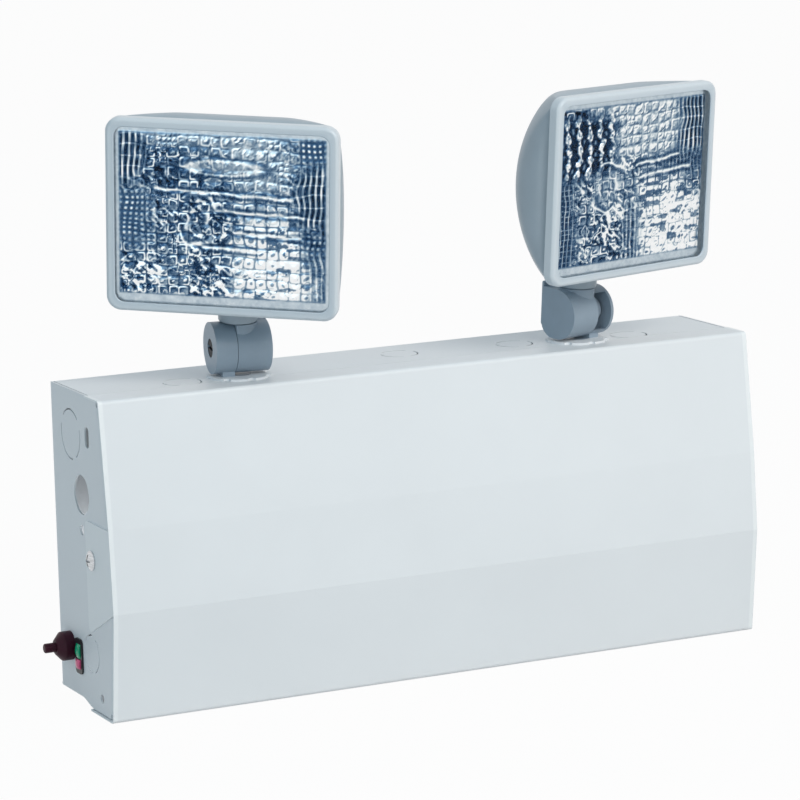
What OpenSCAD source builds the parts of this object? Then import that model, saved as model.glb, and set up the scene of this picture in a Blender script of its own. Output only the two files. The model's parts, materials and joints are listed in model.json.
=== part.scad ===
// Wall-mounted battery emergency light: a formed steel cabinet with two
// swivelling lamp heads on its top. Millimetres. X runs to the right as the
// cabinet is seen from the front, Y points back to the wall and Z points up.
// The origin is the middle of the cabinet's back face, which lies in Y = 0.

/* [Cabinet] */
// Width over the cover's side ears
cab_w = 406; // [380:1:440]
// Height of the front cover
cab_h = 178; // [168:1:200]
// Thickness of the steel sheet
sheet = 1; // [0.8:0.1:1.4]
// Depth from the wall to the top front edge
depth_top = 76; // [74:1:84]
// Depth from the wall to the upper crease of the cover
depth_upper = 84.5; // [82:0.5:92]
// Depth from the wall to the lower crease of the cover
depth_lower = 87.5; // [85:0.5:95]
// Depth from the wall to the bottom front edge
depth_bottom = 81; // [79:0.5:88]
// Height of the upper crease over the bottom edge
crease_upper = 108; // [100:1:116]
// Height of the lower crease over the bottom edge
crease_lower = 62; // [54:1:70]
// Height of the raised rear part of the floor
floor_rise = 4.8; // [3:0.2:8]
// Outside radius of the bends in the box
bend_r = 3.2; // [2:0.1:4]
// Distance from the wall to the seam between box top and cover
seam_depth = 55; // [52:0.5:58]
// Radius of the rounded front lips of the end panels
lip_r = 4.5; // [3:0.1:5]
// Gap between formed sheets where the cover meets the box
sheet_gap = 0.5; // [0.3:0.05:0.8]

/* [Openings] */
// Radius of the large knockout
knockout_big_r = 14.4; // [13:0.1:15]
// Radius of the small knockouts and of the open conduit entry
knockout_small_r = 11.1; // [10:0.1:12]
// Width of the cut round a knockout
kerf = 0.9; // [0.6:0.05:1.2]
// Radius of the four wall screw holes
wall_hole_r = 2.8; // [2:0.1:3.5]
// Distance between the wall holes along the width
wall_hole_x = 330; // [300:1:350]
// Distance between the wall holes along the height
wall_hole_z = 110; // [90:1:130]

/* [Lamp heads] */
// Distance between the two swivel axes
swivel_span = 214; // [200:1:224]
// Distance from the wall to the swivel axes
swivel_depth = 46; // [44:0.5:47]
// Width of a lamp head over its bezel
head_w = 128; // [122:1:140]
// Height of a lamp head over its bezel
head_h = 107; // [100:1:116]
// Depth of a lamp head from the bezel's face to its crown
head_depth = 64; // [58:1:68]
// Corner radius of the bezel
head_corner_r = 8; // [6:0.5:10]
// Wall of the moulded housing
head_wall = 2.2; // [1.8:0.1:2.8]
// Distance from the swivel axis forward to the bezel's face
face_forward = 43; // [41:0.5:47]
// Height of the head's centre over the tilt axis
face_up = 82; // [78:0.5:86]
// Thickness of the lens plate
lens_t = 2.6; // [2:0.1:3]

/* [Knuckle] */
// Radius of the knuckle barrel
barrel_r = 14.5; // [14:0.1:15]
// Overall length of the knuckle along the tilt axis
knuckle_len = 32; // [31:0.5:36]
// Radius of the hollow stem that carries the head
stem_r = 7; // [6.5:0.1:7.2]
// Radius of the foot's threaded nipple
nipple_r = 6.5; // [6:0.1:7]
// Radius of the pivot boss inside the barrel
pivot_r = 5.6; // [5:0.1:6]
// Running clearance of pivots and stems, on the radius
run_fit = 0.06; // [0.04:0.01:0.09]

/* [Head positions at rest] */
// Turn of the left foot about the vertical
left_foot_turn = -8; // [-80:1:80]
// Turn of the right foot about the vertical
right_foot_turn = 16; // [-80:1:80]
// Turn of the left head on its stem
left_head_turn = -28; // [-50:1:50]
// Turn of the right head on its stem
right_head_turn = 0; // [-50:1:50]
// Forward tilt of the left head
left_tilt = 6.5; // [-20:0.5:20]
// Forward tilt of the right head
right_tilt = 4.5; // [-20:0.5:20]

/* [Battery and transformer] */
// Width of the sealed battery
battery_w = 151; // [140:1:155]
// Depth of the sealed battery
battery_d = 65; // [60:1:66]
// Height of the sealed battery's case
battery_h = 94; // [85:1:98]
// Width of the transformer's core
core_w = 57; // [50:1:60]
// Height of the transformer's core
core_h = 48; // [42:1:50]
// Stack of the transformer's core
core_d = 32; // [26:1:36]

/* [Circuit board] */
// Length of the board
board_w = 104; // [96:1:108]
// Height of the board
board_h = 72; // [66:1:74]
// Thickness of the board
board_t = 1.6; // [1.2:0.1:2]

/* [Test switch] */
// Height of the switch axis over the bottom edge
switch_up = 30.8; // [28:0.2:34]
// Distance from the wall to the switch axis
switch_depth = 18; // [17:0.5:20]
// Radius of the boot's skirt
boot_r = 8.2; // [7.5:0.1:8.6]
// Length that the boot stands out of the end panel
boot_out = 16; // [14:0.5:18]
// Travel of the test button
button_travel = 3; // [2:0.1:3.5]

/* [Hidden] */
$fn = 48;

// Overrun of every cutting tool past the face that it cuts
over = 1;
// Side of a cutting block that is larger than any piece
far = cab_w + cab_h;

steel_paint = [0.87, 0.89, 0.90];
moulded_grey = [0.66, 0.69, 0.71];
knuckle_grey = [0.47, 0.52, 0.56];

// Cabinet levels and outline
z_top = cab_h / 2;
z_bot = -cab_h / 2;
z_upper = z_bot + crease_upper;
z_lower = z_bot + crease_lower;
z_floor = z_bot + floor_rise;
half_w = cab_w / 2;
box_half = half_w - sheet;
seam_overlap = 9;
cover_bend_r = 2.4;
cover_floor_depth = 48;
ear_depth = 49.6;
ear_low = 18;
ear_corner_r = 3;
jog_back = 33;
jog_front = 50;
jog_steps = 8;
corner_seam = 0.8;
lip_flange = 7;
lip_relief = 0.6;

// Places of the features on the end panels, measured from the wall and the bottom edge
screw_depth = 57.6;
screw_up = 86.9;
big_depth = 30.6;
big_up = 152.8;
entry_depth = 43.7;
entry_up = 121;
slot_depth = 54.8;
slot_up = 154.6;
slot_w = 6;
slot_h = 12;
small_hole_r = 3;
small_depth = 42.6;
small_up = 101;
low_depth = 50;
low_up = 32.5;
toe_hole_r = 2.6;
toe_depth = 63.3;
toe_up = 10;
// Places of the top knockouts: distance from the middle and from the wall
top_knockouts = [[-swivel_span * 0.66, swivel_depth], [swivel_span * 0.66, swivel_depth],
                 [swivel_span * 0.33, swivel_depth * 0.8], [0, swivel_depth * 0.65]];
tie_angle = 24;

// Fasteners
screw_r = 2.4;
screw_head_r = 5.6;
screw_head_t = 2.8;
screw_hole_r = 2.6;
nut_t = 3.2;
nut_r = 5;
drive_w = 1.2;
drive_deep = 1.2;

// Knuckle stack over the cabinet's top
seat_t = 1.2;
seat_r = 18;
foot_gap = 1.2;
axis_up = seat_t + foot_gap + barrel_r;
half_k = knuckle_len / 2;
drum_start = 3.9;
part_gap = 0.3;
barrel_flat = 12.8;
back_tab_up = 18;
back_low_r = 10;
back_top_r = 1.2;
neck_seat_up = barrel_r + part_gap;
wire_r = 2.8;
web_half = 6.5;
web_len = 7;
pocket_wall = 2;
pocket_share = 0.75;
pivot_end = -7;
clamp_r = 2.5;
clamp_clear = 0.3;
clamp_head_r = 5;
clamp_head_t = 3;
clamp_nut_t = 4;
clamp_nut_r = 4.6;
clamp_tip = -half_k + 2;
nipple_down = 16;
nipple_bore_r = 3.8;
nipple_clear = 0.3;
lock_nut_r = 11;
lock_nut_t = 4;

// Lamp head build-up behind the bezel's face
neck_r = 11;
bezel_d = 7;
bezel_lip = 1.2;
bezel_border = 5;
bezel_bevel = 1.4;
bezel_wall = 2.4;
snug = 0.2;
gasket_t = 1;
gasket_w = 5;
tongue_wall = 2.6;
head_step = 1;
head_draft = 4;
crown_r = head_depth * 1.3;
brow_r = head_depth * 1.01;
crown_fn = 144;
nut_seat_down = 38;
stem_nut_t = 4;
stem_nut_r = 9.5;
stem_tip = 1.2;
mirror_focus = 16;
mirror_t = 1.2;
mirror_room = 22;
mirror_vertex = head_depth - mirror_room;
mirror_steps = 20;
socket_hole_r = 8.4;
socket_r = 10.4;
socket_len = 13;
lamp_base_r = 7.4;
lamp_base_len = 13;
lamp_bulb_r = 10;
lamp_neck_r = 6.4;
lamp_forward = 20;
flute_count = 22;
flute_r = 3.2;
flute_sink = 2.2;

// A path of points with every corner rounded by its own radius
function unit(v) = v / norm(v);
function corner(a, p, b, r, n = 6) =
  let (u = unit(a - p), v = unit(b - p), half = acos(u * v) / 2, t = r / tan(half),
       m = unit(u + v), c = p + m * r / sin(half), s = p + u * t - c, e = p + v * t - c,
       sweep = 180 - 2 * half, turn = cross(s, e) > 0 ? 1 : -1)
  r <= 0 ? [p] : [for (i = [0:n]) let (w = turn * sweep * i / n)
    c + [s[0] * cos(w) - s[1] * sin(w), s[0] * sin(w) + s[1] * cos(w)]];
function rounded(points, radii) =
  let (n = len(points))
  [for (i = [0:n - 1]) each corner(points[(i + n - 1) % n], points[i], points[(i + 1) % n], radii[i])];

// Depth of the cover's face at a height, inside or outside the creases
function face_depth(z) =
  z >= z_upper ? depth_top + (depth_upper - depth_top) * (z_top - z) / (z_top - z_upper)
  : z >= z_lower ? depth_upper + (depth_lower - depth_upper) * (z_upper - z) / (z_upper - z_lower)
  : depth_lower + (depth_bottom - depth_lower) * (z_lower - z) / (z_lower - z_bot);

// Height of the joggled floor at a distance from the wall
function floor_at(d, low) =
  d <= jog_back ? z_floor
  : d >= jog_front ? low
  : low + (z_floor - low) * (1 + cos(180 * (d - jog_back) / (jog_front - jog_back))) / 2;
function floor_line(low, up) =
  [for (i = [0:jog_steps]) let (d = jog_back + (jog_front - jog_back) * i / jog_steps)
    [-d, floor_at(d, low) + up]];

// Runs a side outline, drawn as [Y, Z], through the width
module across(width) {
  rotate([90, 0, 90]) linear_extrude(height = width, center = true) children();
}

// Plate with rounded corners, drawn in its own plane
module round_rect(w, h, r) {
  square([w - 2 * r, h], center = true);
  square([w, h - 2 * r], center = true);
  for (x = [-1, 1], y = [-1, 1]) translate([x * (w / 2 - r), y * (h / 2 - r)]) circle(r);
}

// Cross slot in a screw's head, its top face at Z = 0
module drive_cut(r) {
  for (a = [0, 90]) rotate(a) translate([0, 0, -drive_deep / 2])
    cube([r * 1.2, drive_w, drive_deep + over / 2], center = true);
}

// Hexagonal nut round a hole, standing on Z = 0
module hex_nut(r, t, hole) {
  difference() {
    cylinder(h = t, r = r, $fn = 6);
    translate([0, 0, -over]) cylinder(h = t + 2 * over, r = hole);
  }
}

// Places a piece on an end panel: side -1 is the left end; its Z axis then points outwards
module on_end(side, depth, up) {
  translate([side * box_half, -depth, z_bot + up]) rotate([0, side * 90, 0]) children();
}

// Ring cut round a knockout, left open at its ties, through a sheet whose face is Z = 0
module knockout_cut(r, ties) {
  difference() {
    translate([0, 0, -sheet - over]) difference() {
      cylinder(h = sheet + 2 * over, r = r);
      translate([0, 0, -over]) cylinder(h = sheet + 4 * over, r = r - kerf);
    }
    for (a = ties) rotate(a) translate([r / 2, 0, -sheet / 2])
      cube([r + 2 * over, 2 * r * sin(tie_angle / 2), sheet + 4 * over], center = true);
  }
}

// Solid block of the box, shrunk on all sides
module box_block(shrink) {
  r = bend_r - shrink;
  w = box_half - shrink;
  deep = depth_lower + over;
  intersection() {
    translate([0, 0, z_floor - floor_rise - over]) linear_extrude(height = cab_h + 2 * over) {
      translate([-w, -deep]) square([2 * w, deep - shrink - r]);
      translate([-w + r, -deep]) square([2 * w - 2 * r, deep - shrink]);
      for (x = [-1, 1]) translate([x * (w - r), -shrink - r]) circle(r);
    }
    across(cab_w) {
      translate([-deep, z_bot - over]) square([deep - shrink, cab_h + over - shrink - r]);
      translate([-deep, z_bot - over]) square([deep - shrink - r, cab_h + over - shrink]);
      translate([-shrink - r, z_top - shrink - r]) circle(r);
    }
  }
}

// Front lip of an end panel along one facet: a bend and a flange turned inwards
module end_lip(za, zb) {
  back = sheet + sheet_gap;
  ya = -face_depth(za) + back;
  yb = -face_depth(zb) + back;
  run = norm([ya - yb, za - zb]) - 2 * lip_relief;
  deep = lip_r + sheet_gap;
  wide = lip_r + lip_flange;
  translate([0, ya, za]) rotate([atan2(yb - ya, za - zb), 0, 0]) translate([0, 0, -lip_relief])
    rotate([180, 0, 0]) linear_extrude(height = run)
    polygon(rounded([[0, -deep], [0, 0], [wide, 0], [wide, -sheet], [sheet, -sheet], [sheet, -deep]],
      [0, lip_r, 0, 0, lip_r - sheet, 0]));
}

// Outline of an end panel: straight back edge, joggled bottom, faceted front, clear of the cover's flanges
module end_outline() {
  back = sheet + sheet_gap + lip_r;
  high = z_top - sheet - sheet_gap;
  low = z_bot + sheet + sheet_gap;
  front = [for (z = [low, z_lower, z_upper, high]) [-face_depth(z) + back, z]];
  polygon(concat([[over, z_top + over], [over, z_floor], [0, z_floor]], floor_line(low, 0),
    front, [[-seam_depth, high], [-seam_depth, z_top + over]]));
}

module back_box() {
  floor_low = z_bot + sheet + sheet_gap;
  color(steel_paint) difference() {
    union() {
      intersection() {
        difference() {
          box_block(0);
          box_block(sheet);
          for (x = [-1, 1]) translate([x * (box_half - sheet - corner_seam / 2),
            -(bend_r + seam_depth + seam_overlap) / 2, z_top])
            cube([corner_seam, seam_depth + seam_overlap - bend_r + over, 4 * sheet], center = true);
          translate([0, -seam_depth - far / 2, z_top])
            cube([2 * (box_half - sheet), far, 2 * over + 4 * sheet], center = true);
        }
        across(cab_w) end_outline();
      }
      // Lip under the cover's top flange, notched round the lock nuts
      difference() {
        translate([0, -seam_depth - seam_overlap / 2 + sheet, z_top - 1.5 * sheet])
          cube([2 * (box_half - sheet - corner_seam), seam_overlap + 2 * sheet, sheet], center = true);
        for (side = [-1, 1]) translate([side * swivel_span / 2, -swivel_depth, z_top - 3 * sheet])
          cylinder(h = 2 * sheet, r = lock_nut_r + sheet);
      }
      // Joggled floor
      across(2 * box_half - sheet) polygon(concat([[-sheet / 2, z_floor]], floor_line(floor_low, 0),
        [[-depth_bottom + lip_r + 2 * sheet, floor_low]],
        [[-depth_bottom + lip_r + 2 * sheet, floor_low + sheet]],
        [for (i = [jog_steps:-1:0]) floor_line(floor_low, sheet)[i]],
        [[-sheet / 2, z_floor + sheet]]));
      for (x = [-1, 1]) mirror([x > 0 ? 1 : 0, 0, 0]) translate([-box_half, 0, 0]) {
        end_lip(z_top - bend_r, z_upper);
        end_lip(z_upper, z_lower);
        end_lip(z_lower, z_bot + bend_r);
      }
    }
    box_cuts();
  }
}

// Holes and knockouts of the box
module box_cuts() {
  for (side = [-1, 1]) {
    on_end(side, big_depth, big_up) knockout_cut(knockout_big_r, [side * 60, side * 160, side * 300]);
    on_end(side, screw_depth, screw_up) translate([0, 0, -sheet - over])
      cylinder(h = sheet + 2 * over, r = screw_hole_r);
    on_end(side, low_depth, low_up) knockout_cut(knockout_small_r, [side * 20, side * 170, side * 275]);
    on_end(side, toe_depth, toe_up) translate([0, 0, -sheet - over])
      cylinder(h = sheet + 2 * over, r = toe_hole_r);
  }
  on_end(-1, entry_depth, entry_up) translate([0, 0, -sheet - over])
    cylinder(h = sheet + 2 * over, r = knockout_small_r);
  on_end(-1, small_depth, small_up) translate([0, 0, -sheet - over])
    cylinder(h = sheet + 2 * over, r = small_hole_r);
  on_end(-1, slot_depth, slot_up) for (v = [-1, 1])
    translate([v * (slot_h - slot_w) / 2, 0, -sheet - over]) cylinder(h = sheet + 2 * over, r = slot_w / 2);
  on_end(-1, slot_depth, slot_up)
    cube([slot_h - slot_w, slot_w, 2 * sheet + 2 * over], center = true);
  on_end(-1, switch_depth, switch_up) translate([0, 0, -sheet - over])
    cylinder(h = sheet + 2 * over, r = bushing_r + snug);
  on_end(-1, lens_depth, lens_up)
    cube([lens_h + 2 * snug, lens_w + 2 * snug, 4 * sheet], center = true);
  for (k = top_knockouts) translate([k[0], -k[1], z_top])
    knockout_cut(knockout_small_r, [30, 150, 270]);
  for (side = [-1, 1]) translate([side * swivel_span / 2, -swivel_depth, z_top - sheet - over])
    cylinder(h = sheet + 2 * over, r = nipple_r + nipple_clear);
  for (x = [-1, 1], z = [-1, 1]) translate([x * wall_hole_x / 2, over, z * wall_hole_z / 2])
    rotate([90, 0, 0]) cylinder(h = sheet + 2 * over, r = wall_hole_r);
  for (k = back_knockouts) translate([k[0], 0, k[1]]) rotate([-90, 0, 0])
    knockout_cut(knockout_small_r, [0, 120, 240]);
}
big_knockout_up = z_top - knockout_big_r * 2;
back_knockouts = [[-knockout_big_r, big_knockout_up], [knockout_big_r, big_knockout_up]];

// Cover: one folded sheet with top and bottom flanges and an ear on each end
module front_cover() {
  outer = [[-seam_depth - sheet_gap, z_top], [-depth_top, z_top], [-depth_upper, z_upper],
    [-depth_lower, z_lower], [-depth_bottom, z_bot], [-cover_floor_depth, z_bot]];
  inner = [[-cover_floor_depth, z_bot + sheet], [-depth_bottom + sheet, z_bot + sheet],
    [-depth_lower + sheet, z_lower], [-depth_upper + sheet, z_upper],
    [-depth_top + sheet, z_top - sheet], [-seam_depth - sheet_gap, z_top - sheet]];
  inside_r = cover_bend_r - sheet;
  color(steel_paint) {
    difference() {
      union() {
        across(cab_w) polygon(rounded(concat(outer, inner),
          [0, cover_bend_r, 0, 0, cover_bend_r, 0, 0, inside_r, 0, 0, inside_r, 0]));
        for (side = [-1, 1]) translate([side * (half_w - sheet / 2), 0, 0]) across(sheet)
          polygon(rounded([[-ear_depth, z_upper], [-depth_upper + sheet / 2, z_upper],
            [-depth_lower + sheet / 2, z_lower], [-ear_depth, z_lower - ear_low]],
            [ear_corner_r, 0, 0, ear_corner_r]));
      }
      for (side = [-1, 1]) on_end(side, screw_depth, screw_up) translate([0, 0, -over])
        cylinder(h = sheet + 2 * over, r = screw_hole_r);
    }
  }
}

module cover_screws() {
  color("silver") for (side = [-1, 1]) on_end(side, screw_depth, screw_up) {
    translate([0, 0, sheet]) difference() {
      intersection() {
        cylinder(h = screw_head_t, r = screw_head_r);
        translate([0, 0, screw_head_t - screw_head_r * 1.5]) sphere(screw_head_r * 1.5);
      }
      translate([0, 0, screw_head_t]) drive_cut(screw_head_r);
    }
    translate([0, 0, -sheet - nut_t - sheet]) cylinder(h = nut_t + 3 * sheet, r = screw_r);
  }
}

module clip_nuts() {
  color("dimgray") for (side = [-1, 1]) on_end(side, screw_depth, screw_up)
    translate([0, 0, -sheet - nut_t]) difference() {
      translate([0, 0, nut_t / 2]) cube([2 * nut_r, 2 * nut_r, nut_t], center = true);
      translate([0, 0, -over]) cylinder(h = nut_t + 2 * over, r = screw_r);
    }
}

module swivel_seats() {
  notch = seat_r * 0.12;
  color("whitesmoke") for (side = [-1, 1]) translate([side * swivel_span / 2, -swivel_depth, z_top])
    difference() {
      cylinder(h = seat_t, r = seat_r);
      translate([0, 0, -over]) cylinder(h = seat_t + 2 * over, r = nipple_r + nipple_clear);
      for (a = [0:45:315]) rotate(a) translate([seat_r, 0, -over])
        cylinder(h = seat_t + 2 * over, r = notch);
    }
}

// Ground screw in the back panel
ground_x = -half_w * 0.2;
ground_z = z_bot + cab_h * 0.28;
module ground_screw() {
  color("green") translate([ground_x, -sheet, ground_z]) rotate([90, 0, 0]) difference() {
    cylinder(h = screw_head_t, r = screw_head_r, $fn = 6);
    translate([0, 0, screw_head_t]) drive_cut(screw_head_r);
  }
}

// Battery in the right half of the box
battery_x = half_w * 0.5;
battery_back = sheet + 2 * sheet_gap;
battery_low = z_floor + sheet;
battery_edge_r = 3;
terminal_w = 6.3;
terminal_h = 7;
module battery() {
  lid = battery_h * 0.09;
  color([0.2, 0.21, 0.23]) translate([battery_x, -battery_back - battery_d / 2, battery_low]) {
    linear_extrude(height = battery_h - lid) round_rect(battery_w, battery_d, battery_edge_r);
    translate([0, 0, battery_h - lid]) linear_extrude(height = lid)
      round_rect(battery_w - battery_edge_r, battery_d - battery_edge_r, battery_edge_r);
  }
}
terminal_x = [battery_x - battery_w * 0.43, battery_x + battery_w * 0.43];
terminal_y = -battery_back - battery_d * 0.8;
module battery_terminals() {
  color("silver") for (x = terminal_x) translate([x, terminal_y, battery_low + battery_h]) {
    translate([0, 0, terminal_h / 2]) cube([sheet, terminal_w, terminal_h], center = true);
    translate([0, 0, sheet / 2]) cube([terminal_w, terminal_w, sheet], center = true);
  }
}

// Steel strap that holds the battery back against the box
strap_h = 18;
strap_up = battery_low + battery_h * 0.55;
strap_foot = 12;
strap_front = battery_back + battery_d + sheet_gap + sheet;
strap_half = battery_w / 2 + sheet_gap + sheet;
module battery_strap() {
  color("gainsboro") translate([battery_x, 0, strap_up]) linear_extrude(height = strap_h) {
    difference() {
      translate([-strap_half, -strap_front]) square([2 * strap_half, strap_front - sheet]);
      translate([-strap_half + sheet, -strap_front + sheet])
        square([2 * strap_half - 2 * sheet, strap_front]);
    }
    for (x = [-1, 1]) translate([x > 0 ? strap_half - sheet : -strap_half - strap_foot + sheet, -2 * sheet])
      square([strap_foot, sheet]);
  }
}
module strap_screws() {
  color("silver") for (x = [-1, 1])
    translate([battery_x + x * (strap_half + strap_foot / 2), -2 * sheet, strap_up + strap_h / 2])
    rotate([90, 0, 0]) difference() {
      cylinder(h = screw_head_t, r = strap_foot * 0.36);
      translate([0, 0, screw_head_t]) drive_cut(strap_foot * 0.36);
    }
}

// Insulated lead along straight runs with ball-shaped corners
lead_r = 1.6;
module lead(points) {
  for (i = [0:len(points) - 2]) {
    d = points[i + 1] - points[i];
    translate(points[i]) rotate([0, acos(d[2] / norm(d)), atan2(d[1], d[0])])
      cylinder(h = norm(d), r = lead_r);
    if (i > 0) translate(points[i]) sphere(lead_r);
  }
}
lead_top = battery_low + battery_h + terminal_h + 4 * lead_r;
// Lead from a battery tab up to a run at some height, along it and up to the terminal block
module battery_lead(i, run) {
  way = block_x + (i - 0.5) * block_w / 4;
  lead([[terminal_x[i], terminal_y, battery_low + battery_h + terminal_h], [terminal_x[i], terminal_y, run],
    [way, terminal_y, run], [way, terminal_y, block_z + lead_r], [way, block_front, block_z + lead_r]]);
}
module red_lead() {
  color("firebrick") battery_lead(0, lead_top);
}
module black_lead() {
  color([0.12, 0.12, 0.12]) battery_lead(1, lead_top + 3 * lead_r);
}

// Charger board on standoffs in the upper left of the box
board_x = -half_w * 0.58;
board_z = z_top - board_h / 2 - sheet - 3 * sheet_gap - lock_nut_t;
standoff_len = 7;
standoff_r = 3;
board_back = sheet + standoff_len;
board_face = board_back + board_t;
board_hole_x = board_w / 2 - 2 * standoff_r;
board_hole_z = board_h / 2 - 2 * standoff_r;
module charger_board() {
  color("darkgreen") translate([board_x, -board_face, board_z]) rotate([-90, 0, 0]) difference() {
    linear_extrude(height = board_t) square([board_w, board_h], center = true);
    for (x = [-1, 1], z = [-1, 1]) translate([x * board_hole_x, z * board_hole_z, -over])
      cylinder(h = board_t + 2 * over, r = standoff_r / 2);
  }
}
module board_standoffs() {
  color("white") for (x = [-1, 1], z = [-1, 1])
    translate([board_x + x * board_hole_x, -sheet, board_z + z * board_hole_z]) rotate([90, 0, 0]) {
      cylinder(h = standoff_len, r = standoff_r);
      cylinder(h = standoff_len + board_t + standoff_r / 2, r = standoff_r / 2 - snug);
    }
}

// Places a piece on the board's face, its Z axis pointing to the front
module on_board(x, z) {
  translate([board_x + x, -board_face, board_z + z]) rotate([90, 0, 0]) children();
}
relay_w = 28;
relay_h = 12;
relay_t = 16;
module relay() {
  color([0.15, 0.25, 0.5]) on_board(-board_w * 0.22, board_h * 0.3) translate([0, 0, relay_t / 2])
    cube([relay_w, relay_h, relay_t], center = true);
}
cap_r = 6;
cap_h = 20;
module capacitors() {
  color([0.1, 0.1, 0.12]) for (i = [0:2])
    on_board(-board_w * 0.36 + i * cap_r * 2.4, -board_h * 0.1) cylinder(h = cap_h, r = cap_r);
}
sink_w = 30;
sink_h = 22;
sink_t = 14;
fin_count = 7;
fin_t = 1.4;
module heat_sink() {
  color("silver") on_board(board_w * 0.2, -board_h * 0.24) {
    translate([0, 0, fin_t / 2]) cube([sink_w, sink_h, fin_t], center = true);
    for (i = [0:fin_count - 1])
      translate([-sink_w / 2 + fin_t / 2 + i * (sink_w - fin_t) / (fin_count - 1), 0, sink_t / 2])
      cube([fin_t, sink_h, sink_t], center = true);
  }
}
fuse_r = 2.6;
fuse_len = 20;
module fuse_holder() {
  color("gainsboro") on_board(-board_w * 0.2, -board_h * 0.36) {
    translate([0, 0, fuse_r + board_t]) rotate([0, 90, 0])
      cylinder(h = fuse_len, r = fuse_r, center = true);
    for (x = [-1, 1]) translate([x * fuse_len * 0.36, 0, fuse_r])
      cube([fuse_len * 0.22, 2 * fuse_r + 2 * sheet, 2 * fuse_r], center = true);
  }
}
block_w = 34;
block_h = 12;
block_t = 14;
block_x = board_x + board_w * 0.28;
block_z = board_z + board_h * 0.28;
block_front = -board_face - block_t;
module terminal_block() {
  color("seagreen") translate([block_x, -board_face, block_z]) rotate([90, 0, 0])
    translate([0, 0, block_t / 2]) difference() {
      cube([block_w, block_h, block_t], center = true);
      for (i = [-1.5:1.5]) translate([i * block_w / 4, block_h * 0.2, block_t / 2])
        cylinder(h = block_t, r = block_w * 0.08, center = true);
    }
}

// Transformer on the box's floor
trafo_x = -half_w * 0.4;
limb = core_w / 6;
trafo_back = sheet + 2 * sheet_gap + limb;
trafo_low = z_floor + sheet;
module transformer_core() {
  color([0.35, 0.36, 0.38]) translate([trafo_x, -trafo_back - core_d, trafo_low + sheet])
    rotate([90, 0, 180]) linear_extrude(height = core_d) difference() {
      translate([-core_w / 2, 0]) square([core_w, core_h]);
      for (x = [-1, 1]) translate([x * core_w / 4 - limb / 2, limb]) square([limb, core_h - 2 * limb]);
    }
}
module transformer_winding() {
  coil_d = core_d + 2 * limb - 4 * snug;
  color("goldenrod") translate([trafo_x, -trafo_back - core_d / 2, trafo_low + sheet + limb + snug])
    linear_extrude(height = core_h - 2 * limb - 2 * snug) difference() {
      square([core_w / 2 + limb - 2 * snug, coil_d], center = true);
      square([core_w / 2 - limb + 2 * snug, core_d + 2 * snug], center = true);
    }
}
module transformer_bracket() {
  foot = core_w * 0.16;
  wide = core_d * 0.5;
  color("gainsboro") translate([trafo_x, -trafo_back - core_d / 2, trafo_low]) {
    translate([0, 0, sheet / 2]) cube([core_w + 2 * foot, wide, sheet], center = true);
    for (x = [-1, 1]) translate([x * (core_w / 2 + sheet / 2 + snug / 2), 0, core_h / 2 + sheet])
      cube([sheet, wide, core_h], center = true);
    translate([0, 0, core_h + 1.5 * sheet]) cube([core_w + 2 * sheet + snug, wide, sheet], center = true);
  }
}

// Test switch: body inside the left end panel, nut outside and a booted plunger
bushing_r = 4;
bushing_len = 6;
plunger_r = 2.4;
plunger_clear = 0.08;
switch_body_w = 13;
switch_body_len = 18;
module test_switch() {
  color([0.75, 0.75, 0.72]) on_end(-1, switch_depth, switch_up) difference() {
    union() {
      translate([0, 0, -sheet - switch_body_len / 2])
        cube([switch_body_w, switch_body_w, switch_body_len], center = true);
      translate([0, 0, -sheet - over]) cylinder(h = bushing_len + sheet + over, r = bushing_r);
      for (y = [-1, 1]) translate([0, y * switch_body_w / 4, -sheet - switch_body_len - terminal_h / 2])
        cube([terminal_w / 2, sheet, terminal_h + over], center = true);
    }
    translate([0, 0, -sheet - switch_body_len / 2])
      cylinder(h = far, r = plunger_r + plunger_clear);
  }
}
module switch_nut() {
  color("silver") on_end(-1, switch_depth, switch_up) hex_nut(bushing_r * 1.6, nut_t / 2, bushing_r);
}
// Boot screwed over the bushing, and the button that slides in it
boot_share = 0.6;
boot_neck_share = 0.5;
tip_r = 2.7;
module switch_boot() {
  neck = boot_out * boot_share;
  nut_room = nut_t / 2 + snug;
  color([0.28, 0.03, 0.05]) on_end(-1, switch_depth, switch_up) difference() {
    rotate_extrude() polygon(rounded([[0, 0], [boot_r, 0], [boot_r, neck * boot_share],
      [boot_r * boot_neck_share, neck], [0, neck]], [0, 0, boot_r / 6, boot_r / 6, 0]));
    translate([0, 0, -over]) cylinder(h = nut_room + over, r = bushing_r * 1.6 + snug);
    translate([0, 0, -over]) cylinder(h = bushing_len + snug + over, r = bushing_r);
    translate([0, 0, -over]) cylinder(h = far, r = tip_r + plunger_clear);
  }
}
module test_button() {
  plunger_in = switch_body_len * 0.3;
  low = bushing_len + button_travel + part_gap;
  color([0.28, 0.03, 0.05]) on_end(-1, switch_depth, switch_up) {
    translate([0, 0, low]) rotate_extrude() polygon(rounded([[0, 0], [tip_r, 0], [tip_r, boot_out - low],
      [0, boot_out - low]], [0, 0, tip_r / 3, 0]));
    translate([0, 0, -plunger_in]) cylinder(h = low + plunger_in + over / 2, r = plunger_r);
  }
}

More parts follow.
